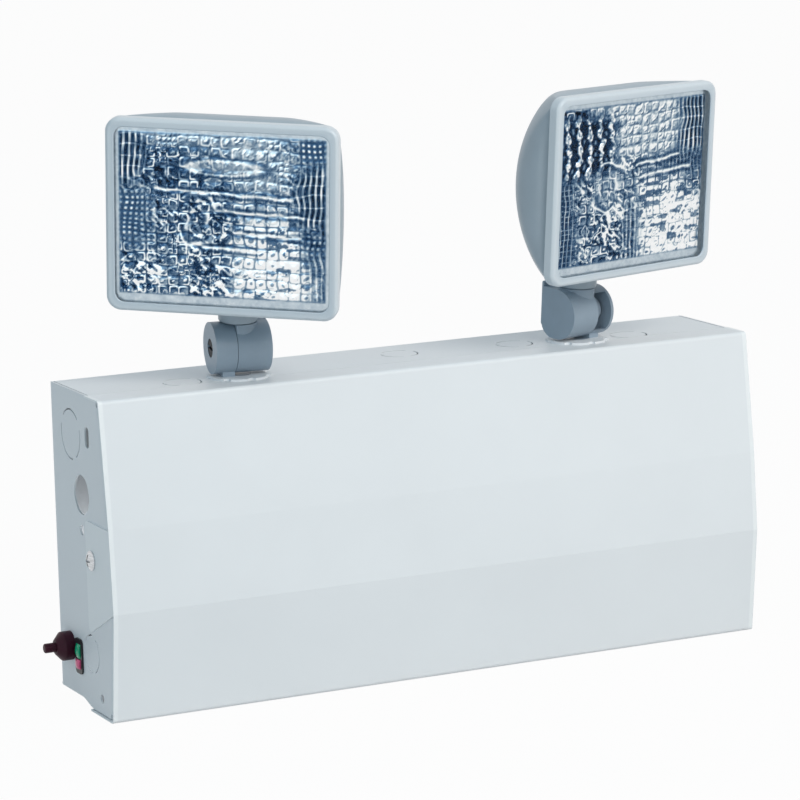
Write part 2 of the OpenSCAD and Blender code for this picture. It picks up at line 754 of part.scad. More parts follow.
// Pilot lights in one upright window next to the switch
lens_w = 8.2;
lens_h = 16;
lens_depth = 31.6;
lens_up = 27.6;
pilot_rim = 1;
pilot_body = 14;
module indicator_housing() {
  color([0.15, 0.17, 0.17]) on_end(-1, lens_depth, lens_up) difference() {
    union() {
      linear_extrude(height = pilot_rim)
        round_rect(lens_h + 4 * pilot_rim, lens_w + 2 * pilot_rim, lens_w / 3);
      translate([0, 0, -pilot_body / 2]) cube([lens_h, lens_w, pilot_body], center = true);
    }
    translate([0, 0, pilot_rim])
      cube([lens_h - 2 * pilot_rim, lens_w - 2 * pilot_rim, pilot_body], center = true);
  }
}
module pilot_lens(up, tall) {
  across_w = lens_w - 2 * pilot_rim;
  on_end(-1, lens_depth, lens_up) translate([up, 0, -pilot_body / 4]) {
    linear_extrude(height = pilot_body / 4 + pilot_rim) square([tall, across_w], center = true);
    intersection() {
      translate([0, 0, pilot_body / 4]) linear_extrude(height = lens_w)
        square([tall, across_w], center = true);
      translate([0, 0, pilot_body / 4 + pilot_rim * 2.5 - lens_w]) sphere(lens_w);
    }
  }
}
green_len = (lens_h - 2 * pilot_rim) * 0.6;
red_len = (lens_h - 2 * pilot_rim) * 0.38;
module green_lens() {
  color("limegreen") pilot_lens((lens_h - 2 * pilot_rim - green_len) / 2, green_len);
}
module red_lens() {
  color("crimson") pilot_lens(-(lens_h - 2 * pilot_rim - red_len) / 2, red_len);
}

// Frames of one lamp head: its foot on the cabinet, its arm on the foot and the head on the stem
function foot_turn(side) = side < 0 ? left_foot_turn : right_foot_turn;
function tilt(side) = side < 0 ? left_tilt : right_tilt;
function head_turn(side) = side < 0 ? left_head_turn : right_head_turn;
module at_foot(side) {
  translate([side * swivel_span / 2, -swivel_depth, z_top + axis_up]) rotate([0, 0, foot_turn(side)])
    children();
}
module at_arm(side) {
  at_foot(side) rotate([tilt(side), 0, 0]) children();
}
module at_head(side) {
  at_arm(side) rotate([0, 0, head_turn(side)]) children();
}
// The knuckle of the left head is the mirror image of the right one
module handed(side) {
  mirror([side < 0 ? 1 : 0, 0, 0]) children();
}
// Turns a piece drawn along Z to lie along the tilt axis
module along_x(x) {
  translate([x, 0, 0]) rotate([0, 90, 0]) children();
}

// Foot: threaded nipple, hub, and the drum half of the knuckle with its pivot boss
module foot(pocket_side) {
  deep = half_k - drum_start - pocket_wall;
  low = -barrel_r - foot_gap;
  core_end = half_k - clamp_head_t;
  difference() {
    union() {
      // Drum with its pocket, open to one side
      difference() {
        along_x(drum_start) cylinder(h = half_k - drum_start, r = barrel_r);
        intersection() {
          along_x(drum_start - over) cylinder(h = deep + over, r = barrel_r - pocket_wall);
          translate([0, pocket_side * barrel_r, 0])
            cube([far, 2 * barrel_r - pocket_wall, 2 * barrel_r], center = true);
        }
        translate([drum_start - over, pocket_side > 0 ? 0 : -far, -barrel_r * pocket_share])
          cube([deep + over, far, 2 * barrel_r * pocket_share]);
      }
      // Boss that turns in the arm, and the core behind it
      along_x(pivot_end) cylinder(h = core_end - pivot_end, r = pivot_r);
      along_x(drum_start) cylinder(h = core_end - drum_start, r = clamp_head_r + 2 * sheet);
      // Web from the drum down to the nipple
      translate([drum_start, -web_half, low]) cube([web_len, 2 * web_half, foot_gap + pocket_wall]);
      translate([0, 0, low - seat_t - nipple_down]) cylinder(h = nipple_down + seat_t, r = nipple_r);
    }
    along_x(pivot_end - over) cylinder(h = far, r = clamp_r + clamp_clear);
    along_x(core_end) cylinder(h = far, r = clamp_head_r + clamp_clear);
    translate([0, 0, low - seat_t - nipple_down - over])
      cylinder(h = nipple_down + over, r = nipple_bore_r);
  }
}
module lock_nut() {
  translate([0, 0, -axis_up - sheet - lock_nut_t - sheet_gap / 2])
    hex_nut(lock_nut_r, lock_nut_t, nipple_r);
}

// Arm: barrel half of the knuckle, its flat back standing up behind the head's neck, and the
// hollow stem on its top
module arm() {
  length = half_k + drum_start - part_gap;
  stem_top = face_up - nut_seat_down + stem_nut_t + stem_tip;
  difference() {
    union() {
      difference() {
        union() {
          along_x(-half_k) cylinder(h = length, r = barrel_r);
          translate([-half_k, 0, 0]) rotate([90, 0, 90]) linear_extrude(height = length)
            polygon(rounded([[0, back_tab_up], [0, -barrel_r], [barrel_flat, -barrel_r],
              [barrel_flat, back_tab_up]], [0, 0, back_low_r, back_top_r]));
          cylinder(h = neck_seat_up, r = neck_r);
        }
        translate([-half_k - over, barrel_flat, -barrel_r - over])
          cube([length + 2 * over, barrel_r, 2 * barrel_r + 2 * over]);
        translate([-half_k - over, -barrel_r - over, neck_seat_up])
          cube([length + 2 * over, barrel_r + neck_r + part_gap + over, barrel_r]);
        translate([length - half_k, -barrel_r, -barrel_r]) cube([far, far, far]);
      }
      translate([0, 0, neck_seat_up]) cylinder(h = stem_top - neck_seat_up, r = stem_r);
    }
    along_x(pivot_end - part_gap) cylinder(h = far, r = pivot_r + run_fit);
    along_x(clamp_tip) cylinder(h = far, r = clamp_r);
    along_x(pivot_end - clamp_nut_t) cylinder(h = clamp_nut_t + over, r = clamp_nut_r, $fn = 6);
    translate([0, 0, pivot_r + 2 * run_fit + sheet]) cylinder(h = far, r = wire_r);
  }
}
module clamp_screw() {
  head = half_k - clamp_head_t + snug;
  along_x(clamp_tip) cylinder(h = head - clamp_tip, r = clamp_r);
  difference() {
    along_x(head) cylinder(h = clamp_head_t - 2 * snug, r = clamp_head_r);
    along_x(half_k - snug) cube([drive_w * 1.4, 2 * clamp_head_r + over, 2 * drive_deep], center = true);
  }
}
module clamp_nut() {
  along_x(pivot_end - clamp_nut_t) hex_nut(clamp_nut_r, clamp_nut_t - part_gap, clamp_r);
}
module stem_nut() {
  translate([0, 0, face_up - nut_seat_down + snug]) hex_nut(stem_nut_r, stem_nut_t, stem_r);
}

// Lamp head. Its own frame: the bezel's face is Y = 0, the head's centre X = Z = 0
module in_head() {
  translate([0, -face_forward, face_up]) children();
}
// Stands a plate outline drawn in X and Z behind the bezel's face
module plate(from, thick) {
  translate([0, from + thick, 0]) rotate([90, 0, 0]) linear_extrude(height = thick) children();
}

// Crowned back of the housing, drawn in by a wall: a ball cut by a wide barrel, which lowers
// it at the top and bottom
module crown(shrink) {
  intersection() {
    translate([0, head_depth - crown_r, 0]) sphere(crown_r - shrink, $fn = crown_fn);
    translate([0, head_depth - brow_r, 0]) along_x(-head_w)
      cylinder(h = 2 * head_w, r = brow_r - shrink, $fn = crown_fn);
  }
}

// Rounded plate with its front face at Y = 0, that grows by some amount on all sides to its back
module tapered(w, h, r, thick, grow) {
  for (x = [-1, 1], z = [-1, 1]) translate([x * (w / 2 - r), 0, z * (h / 2 - r)])
    rotate([-90, 0, 0]) cylinder(h = thick, r1 = r, r2 = r + grow);
  rotate([90, 0, 90]) linear_extrude(height = w - 2 * r, center = true)
    polygon([[0, -h / 2], [thick, -h / 2 - grow], [thick, h / 2 + grow], [0, h / 2]]);
  linear_extrude(height = h - 2 * r, center = true)
    polygon([[-w / 2, 0], [w / 2, 0], [w / 2 + grow, thick], [-w / 2 - grow, thick]]);
}

module housing() {
  neck_low = -face_up + neck_seat_up + snug / 2;
  tongue_w = head_w - 2 * bezel_wall - 2 * snug;
  tongue_h = head_h - 2 * bezel_wall - 2 * snug;
  tongue_r = head_corner_r - bezel_wall;
  wall_w = head_w - 2 * head_step;
  wall_h = head_h - 2 * head_step;
  wall_r = head_corner_r - head_step;
  nut_room = stem_nut_t + stem_tip + part_gap;
  color(moulded_grey) in_head() difference() {
    union() {
      intersection() {
        translate([0, bezel_d, 0]) tapered(wall_w, wall_h, wall_r, head_depth, -head_draft);
        crown(0);
      }
      plate(bezel_lip + lens_t + gasket_t, bezel_d - bezel_lip - lens_t - gasket_t + head_wall / 2)
        round_rect(tongue_w, tongue_h, tongue_r);
      translate([0, face_forward, neck_low]) cylinder(h = -nut_seat_down + neck_r - neck_low, r = neck_r);
    }
    intersection() {
      translate([0, bezel_d + head_wall, 0])
        tapered(wall_w - 2 * head_wall, wall_h - 2 * head_wall, wall_r - head_wall / 3,
          head_depth, -head_draft);
      crown(head_wall);
    }
    plate(0, bezel_d + 2 * head_wall)
      round_rect(tongue_w - 2 * tongue_wall, tongue_h - 2 * tongue_wall, tongue_r - tongue_wall / 2);
    translate([0, face_forward, neck_low - over])
      cylinder(h = -nut_seat_down - neck_low + 2 * over, r = stem_r + run_fit);
    translate([0, face_forward, -nut_seat_down]) cylinder(h = nut_room, r = stem_nut_r + part_gap);
  }
}

module bezel() {
  color([0.82, 0.84, 0.85]) in_head() difference() {
    union() {
      tapered(head_w - 2 * bezel_bevel, head_h - 2 * bezel_bevel, head_corner_r - bezel_bevel,
        bezel_bevel, bezel_bevel);
      plate(bezel_bevel, bezel_d - bezel_bevel) round_rect(head_w, head_h, head_corner_r);
    }
    plate(-over, bezel_d + 2 * over)
      round_rect(head_w - 2 * bezel_border, head_h - 2 * bezel_border, head_corner_r - bezel_border / 2);
    plate(bezel_lip, bezel_d)
      round_rect(head_w - 2 * bezel_wall, head_h - 2 * bezel_wall, head_corner_r - bezel_wall);
  }
}

// Clear lens: a plate with upright flutes on its inner face
module lens() {
  w = head_w - 2 * bezel_wall - 2 * snug;
  h = head_h - 2 * bezel_wall - 2 * snug;
  field_w = w - 4 * bezel_border;
  field_h = h - 4 * bezel_border;
  pitch = field_w / flute_count;
  color([0.75, 0.83, 0.9, 0.5]) in_head() {
    plate(bezel_lip, lens_t) round_rect(w, h, head_corner_r - bezel_wall);
    intersection() {
      for (i = [0:flute_count - 1])
        translate([-field_w / 2 + pitch * (i + 0.5), bezel_lip + lens_t - flute_sink, 0])
          cylinder(h = field_h, r = flute_r, center = true);
      plate(bezel_lip + lens_t / 2, lens_t) square([field_w, field_h], center = true);
    }
  }
}

module gasket() {
  w = head_w - 2 * bezel_wall - 2 * snug;
  h = head_h - 2 * bezel_wall - 2 * snug;
  color([0.1, 0.1, 0.1]) in_head() plate(bezel_lip + lens_t, gasket_t) difference() {
    round_rect(w, h, head_corner_r - bezel_wall);
    round_rect(w - 2 * gasket_w, h - 2 * gasket_w, head_corner_r - bezel_wall);
  }
}

// Metallised reflector: a parabolic dish trimmed to a rectangle, with a flat flange
function dish(r, from) = [r, from - r * r / (4 * mirror_focus)];
module dish_solid(from, front) {
  rim = sqrt(4 * mirror_focus * (from - front));
  rotate([-90, 0, 0]) rotate_extrude() polygon(concat([[0, front]],
    [for (i = [mirror_steps:-1:0]) dish(rim * i / mirror_steps, from)]));
}
module reflector() {
  w = head_w - 2 * bezel_wall - 2 * snug - 2 * tongue_wall - 2 * snug;
  h = head_h - 2 * bezel_wall - 2 * snug - 2 * tongue_wall - 2 * snug;
  front = bezel_lip + lens_t + gasket_t;
  trim_w = w - 2 * gasket_w;
  trim_h = h - 2 * gasket_w;
  color("lightsteelblue") in_head() difference() {
    union() {
      plate(front, mirror_t) round_rect(w, h, head_corner_r / 2);
      intersection() {
        dish_solid(mirror_vertex + mirror_t, front);
        plate(front, far) square([trim_w, trim_h], center = true);
      }
    }
    intersection() {
      dish_solid(mirror_vertex, front - over);
      plate(front - over, far) square([trim_w - 2 * mirror_t, trim_h - 2 * mirror_t], center = true);
    }
    translate([0, mirror_vertex - 2 * mirror_t, 0])
      rotate([-90, 0, 0]) cylinder(h = far, r = socket_hole_r);
  }
}

// Lamp on the reflector's axis: glass, metal base and holder
module on_lamp_axis(y) {
  in_head() translate([0, y, 0]) rotate([-90, 0, 0]) children();
}
lamp_back = mirror_vertex + mirror_t;
module lamp_glass() {
  color([0.95, 0.95, 0.9, 0.5]) on_lamp_axis(0) rotate_extrude() difference() {
    union() {
      translate([0, lamp_forward]) circle(lamp_bulb_r);
      translate([0, lamp_forward]) square([lamp_neck_r, lamp_back - lamp_forward - 4 * sheet]);
    }
    translate([-far, -far]) square([far, 2 * far]);
  }
}
module lamp_base() {
  color("goldenrod") on_lamp_axis(lamp_back - 4 * sheet) {
    cylinder(h = lamp_base_len, r = lamp_base_r);
    translate([0, 0, lamp_base_len]) cylinder(h = sheet, r = lamp_base_r / 3);
  }
}
module lamp_socket() {
  color([0.2, 0.2, 0.2]) on_lamp_axis(lamp_back) difference() {
    cylinder(h = socket_len, r = socket_r);
    translate([0, 0, -over]) cylinder(h = lamp_base_len - 4 * sheet + 2 * sheet + over, r = lamp_base_r);
  }
}

back_box();
front_cover();
cover_screws();
clip_nuts();
swivel_seats();
ground_screw();
battery();
battery_terminals();
battery_strap();
strap_screws();
red_lead();
black_lead();
transformer_core();
transformer_winding();
transformer_bracket();
charger_board();
board_standoffs();
relay();
capacitors();
heat_sink();
fuse_holder();
terminal_block();
test_switch();
switch_nut();
switch_boot();
test_button();
indicator_housing();
green_lens();
red_lens();
color(knuckle_grey) at_foot(-1) handed(-1) foot(1);  // left_foot
color("silver") at_foot(-1) lock_nut();  // left_lock_nut
color(knuckle_grey) at_arm(-1) handed(-1) arm();  // left_arm
color("silver") at_arm(-1) handed(-1) clamp_screw();  // left_clamp_screw
color("silver") at_arm(-1) handed(-1) clamp_nut();  // left_clamp_nut
color("silver") at_arm(-1) stem_nut();  // left_stem_nut
at_head(-1) housing();  // left_housing
at_head(-1) bezel();  // left_bezel
at_head(-1) lens();  // left_lens
at_head(-1) gasket();  // left_gasket
at_head(-1) reflector();  // left_reflector
at_head(-1) lamp_glass();  // left_lamp_glass
at_head(-1) lamp_base();  // left_lamp_base
at_head(-1) lamp_socket();  // left_lamp_socket
color(knuckle_grey) at_foot(1) foot(-1);  // right_foot
color("silver") at_foot(1) lock_nut();  // right_lock_nut
color(knuckle_grey) at_arm(1) arm();  // right_arm
color("silver") at_arm(1) clamp_screw();  // right_clamp_screw
color("silver") at_arm(1) clamp_nut();  // right_clamp_nut
color("silver") at_arm(1) stem_nut();  // right_stem_nut
at_head(1) housing();  // right_housing
at_head(1) bezel();  // right_bezel
at_head(1) lens();  // right_lens
at_head(1) gasket();  // right_gasket
at_head(1) reflector();  // right_reflector
at_head(1) lamp_glass();  // right_lamp_glass
at_head(1) lamp_base();  // right_lamp_base
at_head(1) lamp_socket();  // right_lamp_socket
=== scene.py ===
# Looks of the wall-mounted emergency light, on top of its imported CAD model. Metres throughout.
import json
import math
from types import SimpleNamespace

import bpy
import numpy as np
from mathutils import Matrix, Vector


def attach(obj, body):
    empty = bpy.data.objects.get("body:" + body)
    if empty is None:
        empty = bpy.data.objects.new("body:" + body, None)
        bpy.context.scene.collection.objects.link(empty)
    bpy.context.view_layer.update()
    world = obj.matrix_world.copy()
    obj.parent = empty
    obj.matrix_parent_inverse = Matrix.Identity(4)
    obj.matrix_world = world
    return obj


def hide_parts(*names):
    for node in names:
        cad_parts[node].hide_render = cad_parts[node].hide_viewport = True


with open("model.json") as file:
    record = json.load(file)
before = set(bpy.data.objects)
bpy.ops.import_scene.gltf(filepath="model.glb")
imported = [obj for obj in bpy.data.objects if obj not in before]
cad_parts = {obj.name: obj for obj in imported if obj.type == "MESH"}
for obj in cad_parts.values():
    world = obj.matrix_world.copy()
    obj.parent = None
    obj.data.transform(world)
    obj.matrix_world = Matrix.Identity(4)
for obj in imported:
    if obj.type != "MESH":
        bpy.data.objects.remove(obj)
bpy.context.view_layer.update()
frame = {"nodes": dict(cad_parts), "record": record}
print("frame loaded:", len(frame["nodes"]), "nodes")


# Meshes from arrays
def addMesh(name, points, quads, caps=(), smooth=True):
    # points is (n, 3), quads is (m, 4) of point numbers, caps are single many-sided faces
    quads = np.asarray(quads).reshape(-1, 4)
    flat = np.concatenate([quads.ravel(), *caps]).astype(np.int32)
    sides = np.concatenate([np.full(len(quads), 4), np.array([len(cap) for cap in caps], dtype=int)])
    starts = np.concatenate([[0], np.cumsum(sides)[:-1]]).astype(np.int32)
    mesh = bpy.data.meshes.new(name)
    mesh.vertices.add(len(points))
    mesh.vertices.foreach_set("co", np.asarray(points, dtype=np.float32).ravel())
    mesh.loops.add(len(flat))
    mesh.loops.foreach_set("vertex_index", flat)
    mesh.polygons.add(len(sides))
    mesh.polygons.foreach_set("loop_start", starts)
    mesh.polygons.foreach_set("use_smooth", np.full(len(sides), smooth))
    mesh.update(calc_edges=True)
    mesh.validate()
    piece = bpy.data.objects.new(name, mesh)
    bpy.context.scene.collection.objects.link(piece)
    return piece


def gridQuads(rows, columns, wrap=False):
    # four point numbers of every cell of a rows x columns grid whose points are stored row by row;
    # with wrap the last column meets the first
    row = np.arange(rows - 1)[:, None]
    column = np.arange(columns if wrap else columns - 1)[None, :]
    nextRow, nextColumn = row + 1, (column + 1) % columns
    corners = [row * columns + column, row * columns + nextColumn,
               nextRow * columns + nextColumn, nextRow * columns + column]
    return np.stack(corners, axis=-1).reshape(-1, 4)


def borderRing(rows, columns):
    # point numbers round the edge of such a grid
    last = rows * columns - 1
    return np.concatenate([np.arange(columns - 1), np.arange(1, rows) * columns - 1,
                           np.arange(last, last - columns + 1, -1), np.arange(rows - 1, 0, -1) * columns])


def roundedRing(width, height, radius, depth, steps):
    # outline of a rounded rectangle in the plane Y = depth, anticlockwise seen from the front
    angle = np.linspace(0, math.pi / 2, steps)
    corners = []
    for quarter, (sx, sz) in enumerate(((1, 1), (-1, 1), (-1, -1), (1, -1))):
        a = angle + quarter * math.pi / 2
        corners.append(np.stack([sx * (width / 2 - radius) + radius * np.cos(a), np.full(steps, depth),
                                 sz * (height / 2 - radius) + radius * np.sin(a)], axis=1))
    return np.concatenate(corners)


def turnX(angle):
    c, s = math.cos(math.radians(angle)), math.sin(math.radians(angle))
    return np.array([[1, 0, 0], [0, c, -s], [0, s, c]])


def turnZ(angle):
    c, s = math.cos(math.radians(angle)), math.sin(math.radians(angle))
    return np.array([[c, -s, 0], [s, c, 0], [0, 0, 1]])


# Nodes of the materials
noiseLook = {"roughness": 0.55, "low": 0.3, "high": 0.7}  # low and high hold the middle part of a noise


def nodeMaterial(name):
    material = bpy.data.materials.new(name)
    material.use_nodes = True
    nodes, links = material.node_tree.nodes, material.node_tree.links
    return material, nodes, links, nodes["Principled BSDF"]


def noiseOn(nodes, links, scale, detail, stretch=(1, 1, 1)):
    # a noise on Object coordinates; scale is in repeats per metre
    place = nodes.new("ShaderNodeTexCoord")
    mapping = nodes.new("ShaderNodeMapping")
    mapping.inputs["Scale"].default_value = stretch
    noise = nodes.new("ShaderNodeTexNoise")
    noise.inputs["Scale"].default_value = scale
    noise.inputs["Detail"].default_value = detail
    noise.inputs["Roughness"].default_value = noiseLook["roughness"]
    links.new(place.outputs["Object"], mapping.inputs["Vector"])
    links.new(mapping.outputs["Vector"], noise.inputs["Vector"])
    return noise.outputs["Fac"]


def spread(nodes, links, source, low, high):
    # stretches a noise's middle part to the range low..high
    mapRange = nodes.new("ShaderNodeMapRange")
    mapRange.inputs["From Min"].default_value = noiseLook["low"]
    mapRange.inputs["From Max"].default_value = noiseLook["high"]
    mapRange.inputs["To Min"].default_value = low
    mapRange.inputs["To Max"].default_value = high
    links.new(source, mapRange.inputs["Value"])
    return mapRange.outputs["Result"]


def mixColours(nodes, links, factor, first, second):
    # first where factor is 0, second where it is 1; first is a colour or what another node gives
    mix = nodes.new("ShaderNodeMix")
    mix.data_type = "RGBA"
    links.new(factor, mix.inputs["Factor"])
    if isinstance(first, bpy.types.NodeSocket):
        links.new(first, mix.inputs["A"])
    else:
        mix.inputs["A"].default_value = (*first, 1)
    mix.inputs["B"].default_value = (*second, 1)
    return mix.outputs["Result"]


def ownAttribute(nodes, name):
    attribute = nodes.new("ShaderNodeAttribute")
    attribute.attribute_name = name
    return attribute.outputs["Fac"]


def awayFromMiddle(nodes, links, start, full):
    # 0 up to start from the middle along X, 1 from full on
    place = nodes.new("ShaderNodeTexCoord")
    parts = nodes.new("ShaderNodeSeparateXYZ")
    away = nodes.new("ShaderNodeMath")
    away.operation = "ABSOLUTE"
    strip = nodes.new("ShaderNodeMapRange")
    strip.inputs["From Min"].default_value = start
    strip.inputs["From Max"].default_value = full
    links.new(place.outputs["Object"], parts.inputs["Vector"])
    links.new(parts.outputs["X"], away.inputs[0])
    links.new(away.outputs[0], strip.inputs["Value"])
    return strip.outputs["Result"]


def seenRays(nodes, links):
    # 1 where the camera looks, also by way of a mirror or through glass, and 0 for light on surfaces
    rays = nodes.new("ShaderNodeLightPath")
    seen = rays.outputs["Is Camera Ray"]
    for kind in ("Is Glossy Ray", "Is Transmission Ray"):
        either = nodes.new("ShaderNodeMath")
        either.operation = "MAXIMUM"
        links.new(seen, either.inputs[0])
        links.new(rays.outputs[kind], either.inputs[1])
        seen = either.outputs[0]
    return seen


# Finishes of the solid pieces
plainFinish = {
    "detail": 2.0, "mottle": 0.03, "mottleScale": 40, "grainScale": 900, "grainDepth": 0.00002,
    "stretch": (1, 1, 1), "roughRange": (0.9, 1.1), "metal": 0.0, "specular": 0.5, "coat": 0.0,
    "coatRough": 0.1, "through": 0.0, "ior": 1.45, "alpha": 1.0,
}
finishSockets = {
    "Metallic": "metal", "Specular IOR Level": "specular", "Coat Weight": "coat",
    "Coat Roughness": "coatRough", "Transmission Weight": "through", "IOR": "ior", "Alpha": "alpha",
}


def surfaceFinish(name, look):
    # colour with a slow mottle, a fine grain in the height, and a roughness that wanders a little;
    # a finish may have a painted highlight on a bezel's outer lip or on the folded ends of a cover
    look = {**plainFinish, **look}
    material, nodes, links, skin = nodeMaterial(name)
    colour, rough, mottle = np.array(look["colour"]), look["rough"], look["mottle"]
    slow = noiseOn(nodes, links, look["mottleScale"], look["detail"], look["stretch"])
    fine = noiseOn(nodes, links, look["grainScale"], look["detail"], look["stretch"])
    tint = mixColours(nodes, links, spread(nodes, links, slow, 0.0, 1.0),
                      np.clip(colour * (1 - mottle), 0, 1), np.clip(colour * (1 + mottle), 0, 1))
    if "lip" in look:
        tint = mixColours(nodes, links, ownAttribute(nodes, "lip"), tint, look["lip"])
    if "foldHighlight" in look:
        foldHighlight = look["foldHighlight"]
        strip = awayFromMiddle(nodes, links, foldHighlight["start"], foldHighlight["full"])
        tint = mixColours(nodes, links, strip, tint, foldHighlight["colour"])
    bump = nodes.new("ShaderNodeBump")
    bump.inputs["Strength"].default_value = 1.0
    bump.inputs["Distance"].default_value = look["grainDepth"]
    smoothest, roughest = (rough * share for share in look["roughRange"])
    links.new(tint, skin.inputs["Base Color"])
    links.new(spread(nodes, links, fine, smoothest, min(1.0, roughest)), skin.inputs["Roughness"])
    links.new(fine, bump.inputs["Height"])
    links.new(bump.outputs["Normal"], skin.inputs["Normal"])
    for socket, key in finishSockets.items():
        skin.inputs[socket].default_value = look[key]
    return material


finishes = {
    "cabinet_paint": {"colour": (0.79, 0.81, 0.83), "rough": 0.42, "grainScale": 700, "grainDepth": 0.000018,
                      "mottle": 0.012, "mottleScale": 14},
    # the clamp screws are painted near black, a painted shade of the recess they sit in
    "screw_painted_shade": {"colour": (0.018, 0.020, 0.024), "rough": 0.5, "specular": 0.12},
    "zinc_steel": {"colour": (0.58, 0.60, 0.62), "rough": 0.22, "metal": 1.0, "mottle": 0.16,
                   "mottleScale": 200, "grainScale": 1600, "grainDepth": 0.00001, "stretch": (1, 1, 6)},
    "ground_green": {"colour": (0.07, 0.36, 0.14), "rough": 0.4, "grainScale": 1200},
    "seat_white": {"colour": (0.80, 0.82, 0.84), "rough": 0.5, "grainScale": 1500, "grainDepth": 0.00001},
    "battery_case": {"colour": (0.045, 0.047, 0.05), "rough": 0.55, "grainScale": 1500, "mottle": 0.12},
    "lead_red": {"colour": (0.55, 0.03, 0.03), "rough": 0.35, "grainScale": 800},
    "lead_black": {"colour": (0.02, 0.02, 0.02), "rough": 0.35, "grainScale": 800},
    "core_steel": {"colour": (0.10, 0.10, 0.11), "rough": 0.5, "metal": 0.6, "stretch": (1, 1, 40),
                   "grainScale": 200, "grainDepth": 0.0001, "mottle": 0.2},
    "winding": {"colour": (0.60, 0.26, 0.08), "rough": 0.3, "metal": 0.9, "stretch": (1, 60, 1),
                "grainScale": 60, "grainDepth": 0.0003, "mottle": 0.25},
    "board_green": {"colour": (0.02, 0.19, 0.06), "rough": 0.35, "coat": 0.4, "mottle": 0.2,
                    "mottleScale": 160},
    "nylon_white": {"colour": (0.82, 0.82, 0.78), "rough": 0.5},
    "relay_blue": {"colour": (0.03, 0.10, 0.38), "rough": 0.3},
    "capacitor_black": {"colour": (0.03, 0.03, 0.06), "rough": 0.3},
    "heat_sink": {"colour": (0.62, 0.63, 0.65), "rough": 0.35, "metal": 1.0, "stretch": (1, 1, 20)},
    "fuse_glass": {"colour": (0.80, 0.84, 0.84), "rough": 0.05, "through": 0.9},
    "block_green": {"colour": (0.04, 0.32, 0.12), "rough": 0.35},
    "switch_body": {"colour": (0.04, 0.04, 0.04), "rough": 0.45},
    "boot_rubber": {"colour": (0.042, 0.007, 0.017), "rough": 0.42, "specular": 0.18, "grainScale": 1300,
                    "grainDepth": 0.00003, "mottle": 0.18, "mottleScale": 300},
    "pilot_black": {"colour": (0.020, 0.018, 0.022), "rough": 0.3, "specular": 0.25, "grainScale": 1400},
    "green_lens": {"colour": (0.0, 0.40, 0.19), "rough": 0.2, "coat": 0.2, "specular": 0.3, "mottle": 0.18,
                   "mottleScale": 320},
    "red_lens": {"colour": (0.80, 0.10, 0.24), "rough": 0.2, "coat": 0.2, "specular": 0.3, "mottle": 0.14,
                 "mottleScale": 320},
    "knuckle_grey": {"colour": (0.30, 0.37, 0.44), "rough": 0.4, "grainScale": 1500, "grainDepth": 0.00003,
                     "mottle": 0.04, "mottleScale": 90},
    "housing_grey": {"colour": (0.385, 0.445, 0.495), "rough": 0.4, "grainScale": 1500,
                     "grainDepth": 0.00003, "mottle": 0.03, "mottleScale": 60},
    # bezel_grey's lip colour is a painted highlight along the bezel's rounded outer lip
    "bezel_grey": {"colour": (0.52, 0.59, 0.65), "lip": (0.65, 0.70, 0.74), "rough": 0.3,
                   "grainScale": 1300, "grainDepth": 0.000015, "mottle": 0.02, "mottleScale": 60},
    "clear_lens": {"colour": (0.05, 0.07, 0.10), "rough": 0.04, "alpha": 0.04, "grainScale": 300,
                   "grainDepth": 0.00001},
    "gasket_rubber": {"colour": (0.03, 0.03, 0.03), "rough": 0.7},
    "reflector_mirror": {"colour": (0.86, 0.88, 0.92), "rough": 0.06, "metal": 1.0, "grainScale": 200,
                         "grainDepth": 0.00006},
    "lamp_glass": {"colour": (0.95, 0.96, 0.97), "rough": 0.03, "through": 0.95},
    "lamp_metal": {"colour": (0.70, 0.55, 0.28), "rough": 0.3, "metal": 1.0, "mottle": 0.1},
    "socket_black": {"colour": (0.03, 0.03, 0.03), "rough": 0.5},
}
# painted highlight: the cover's paint is lighter where its left and right ends fold round
finishes["cover_paint_highlit"] = {**finishes["cabinet_paint"],
                           "foldHighlight": {"start": 0.2000, "full": 0.2008, "colour": (0.86, 0.88, 0.89)}}
# pieces whose finish isn't that of their slot
ownFinishes = {"front_cover": "cover_paint_highlit", "left_clamp_screw": "screw_painted_shade",
               "right_clamp_screw": "screw_painted_shade"}

skins = {finishName: surfaceFinish(finishName, look) for finishName, look in finishes.items()}
for part in frame["record"]["subparts"]:
    node = frame["nodes"][part["node"]]
    node.data.materials.clear()
    node.data.materials.append(skins[ownFinishes.get(part["node"], part["material_slot"])])
print("finishes made:", len(skins))


# Lamp heads: their joints' axes, the face's place from there, and the turns of the rest pose in degrees
headPlace = {
    "axisUp": 0.1059, "axisBack": -0.046, "span": 0.214, "faceForward": 0.043, "faceUp": 0.082,
    "left": {"side": -1, "foot": -8, "tilt": 6.5, "head": -28},
    "right": {"side": 1, "foot": 16, "tilt": 4.5, "head": 0},
}


def headFrame(side):
    # the head's turn as a matrix, and the point where its joints' axes meet
    s = headPlace[side]
    turn = turnZ(s["foot"]) @ turnX(s["tilt"]) @ turnZ(s["head"])
    return turn, np.array([s["side"] * headPlace["span"] / 2, headPlace["axisBack"], headPlace["axisUp"]])


def placeInHead(side, points):
    # from head coordinates: X to the right, Y back from the bezel's face, Z up from the middle
    turn, axes = headFrame(side)
    return axes + (points + [0, -headPlace["faceForward"], headPlace["faceUp"]]) @ turn.T


def fromHead(side, points):
    # the same the other way round
    turn, axes = headFrame(side)
    return (points - axes) @ turn + [0, headPlace["faceForward"], -headPlace["faceUp"]]
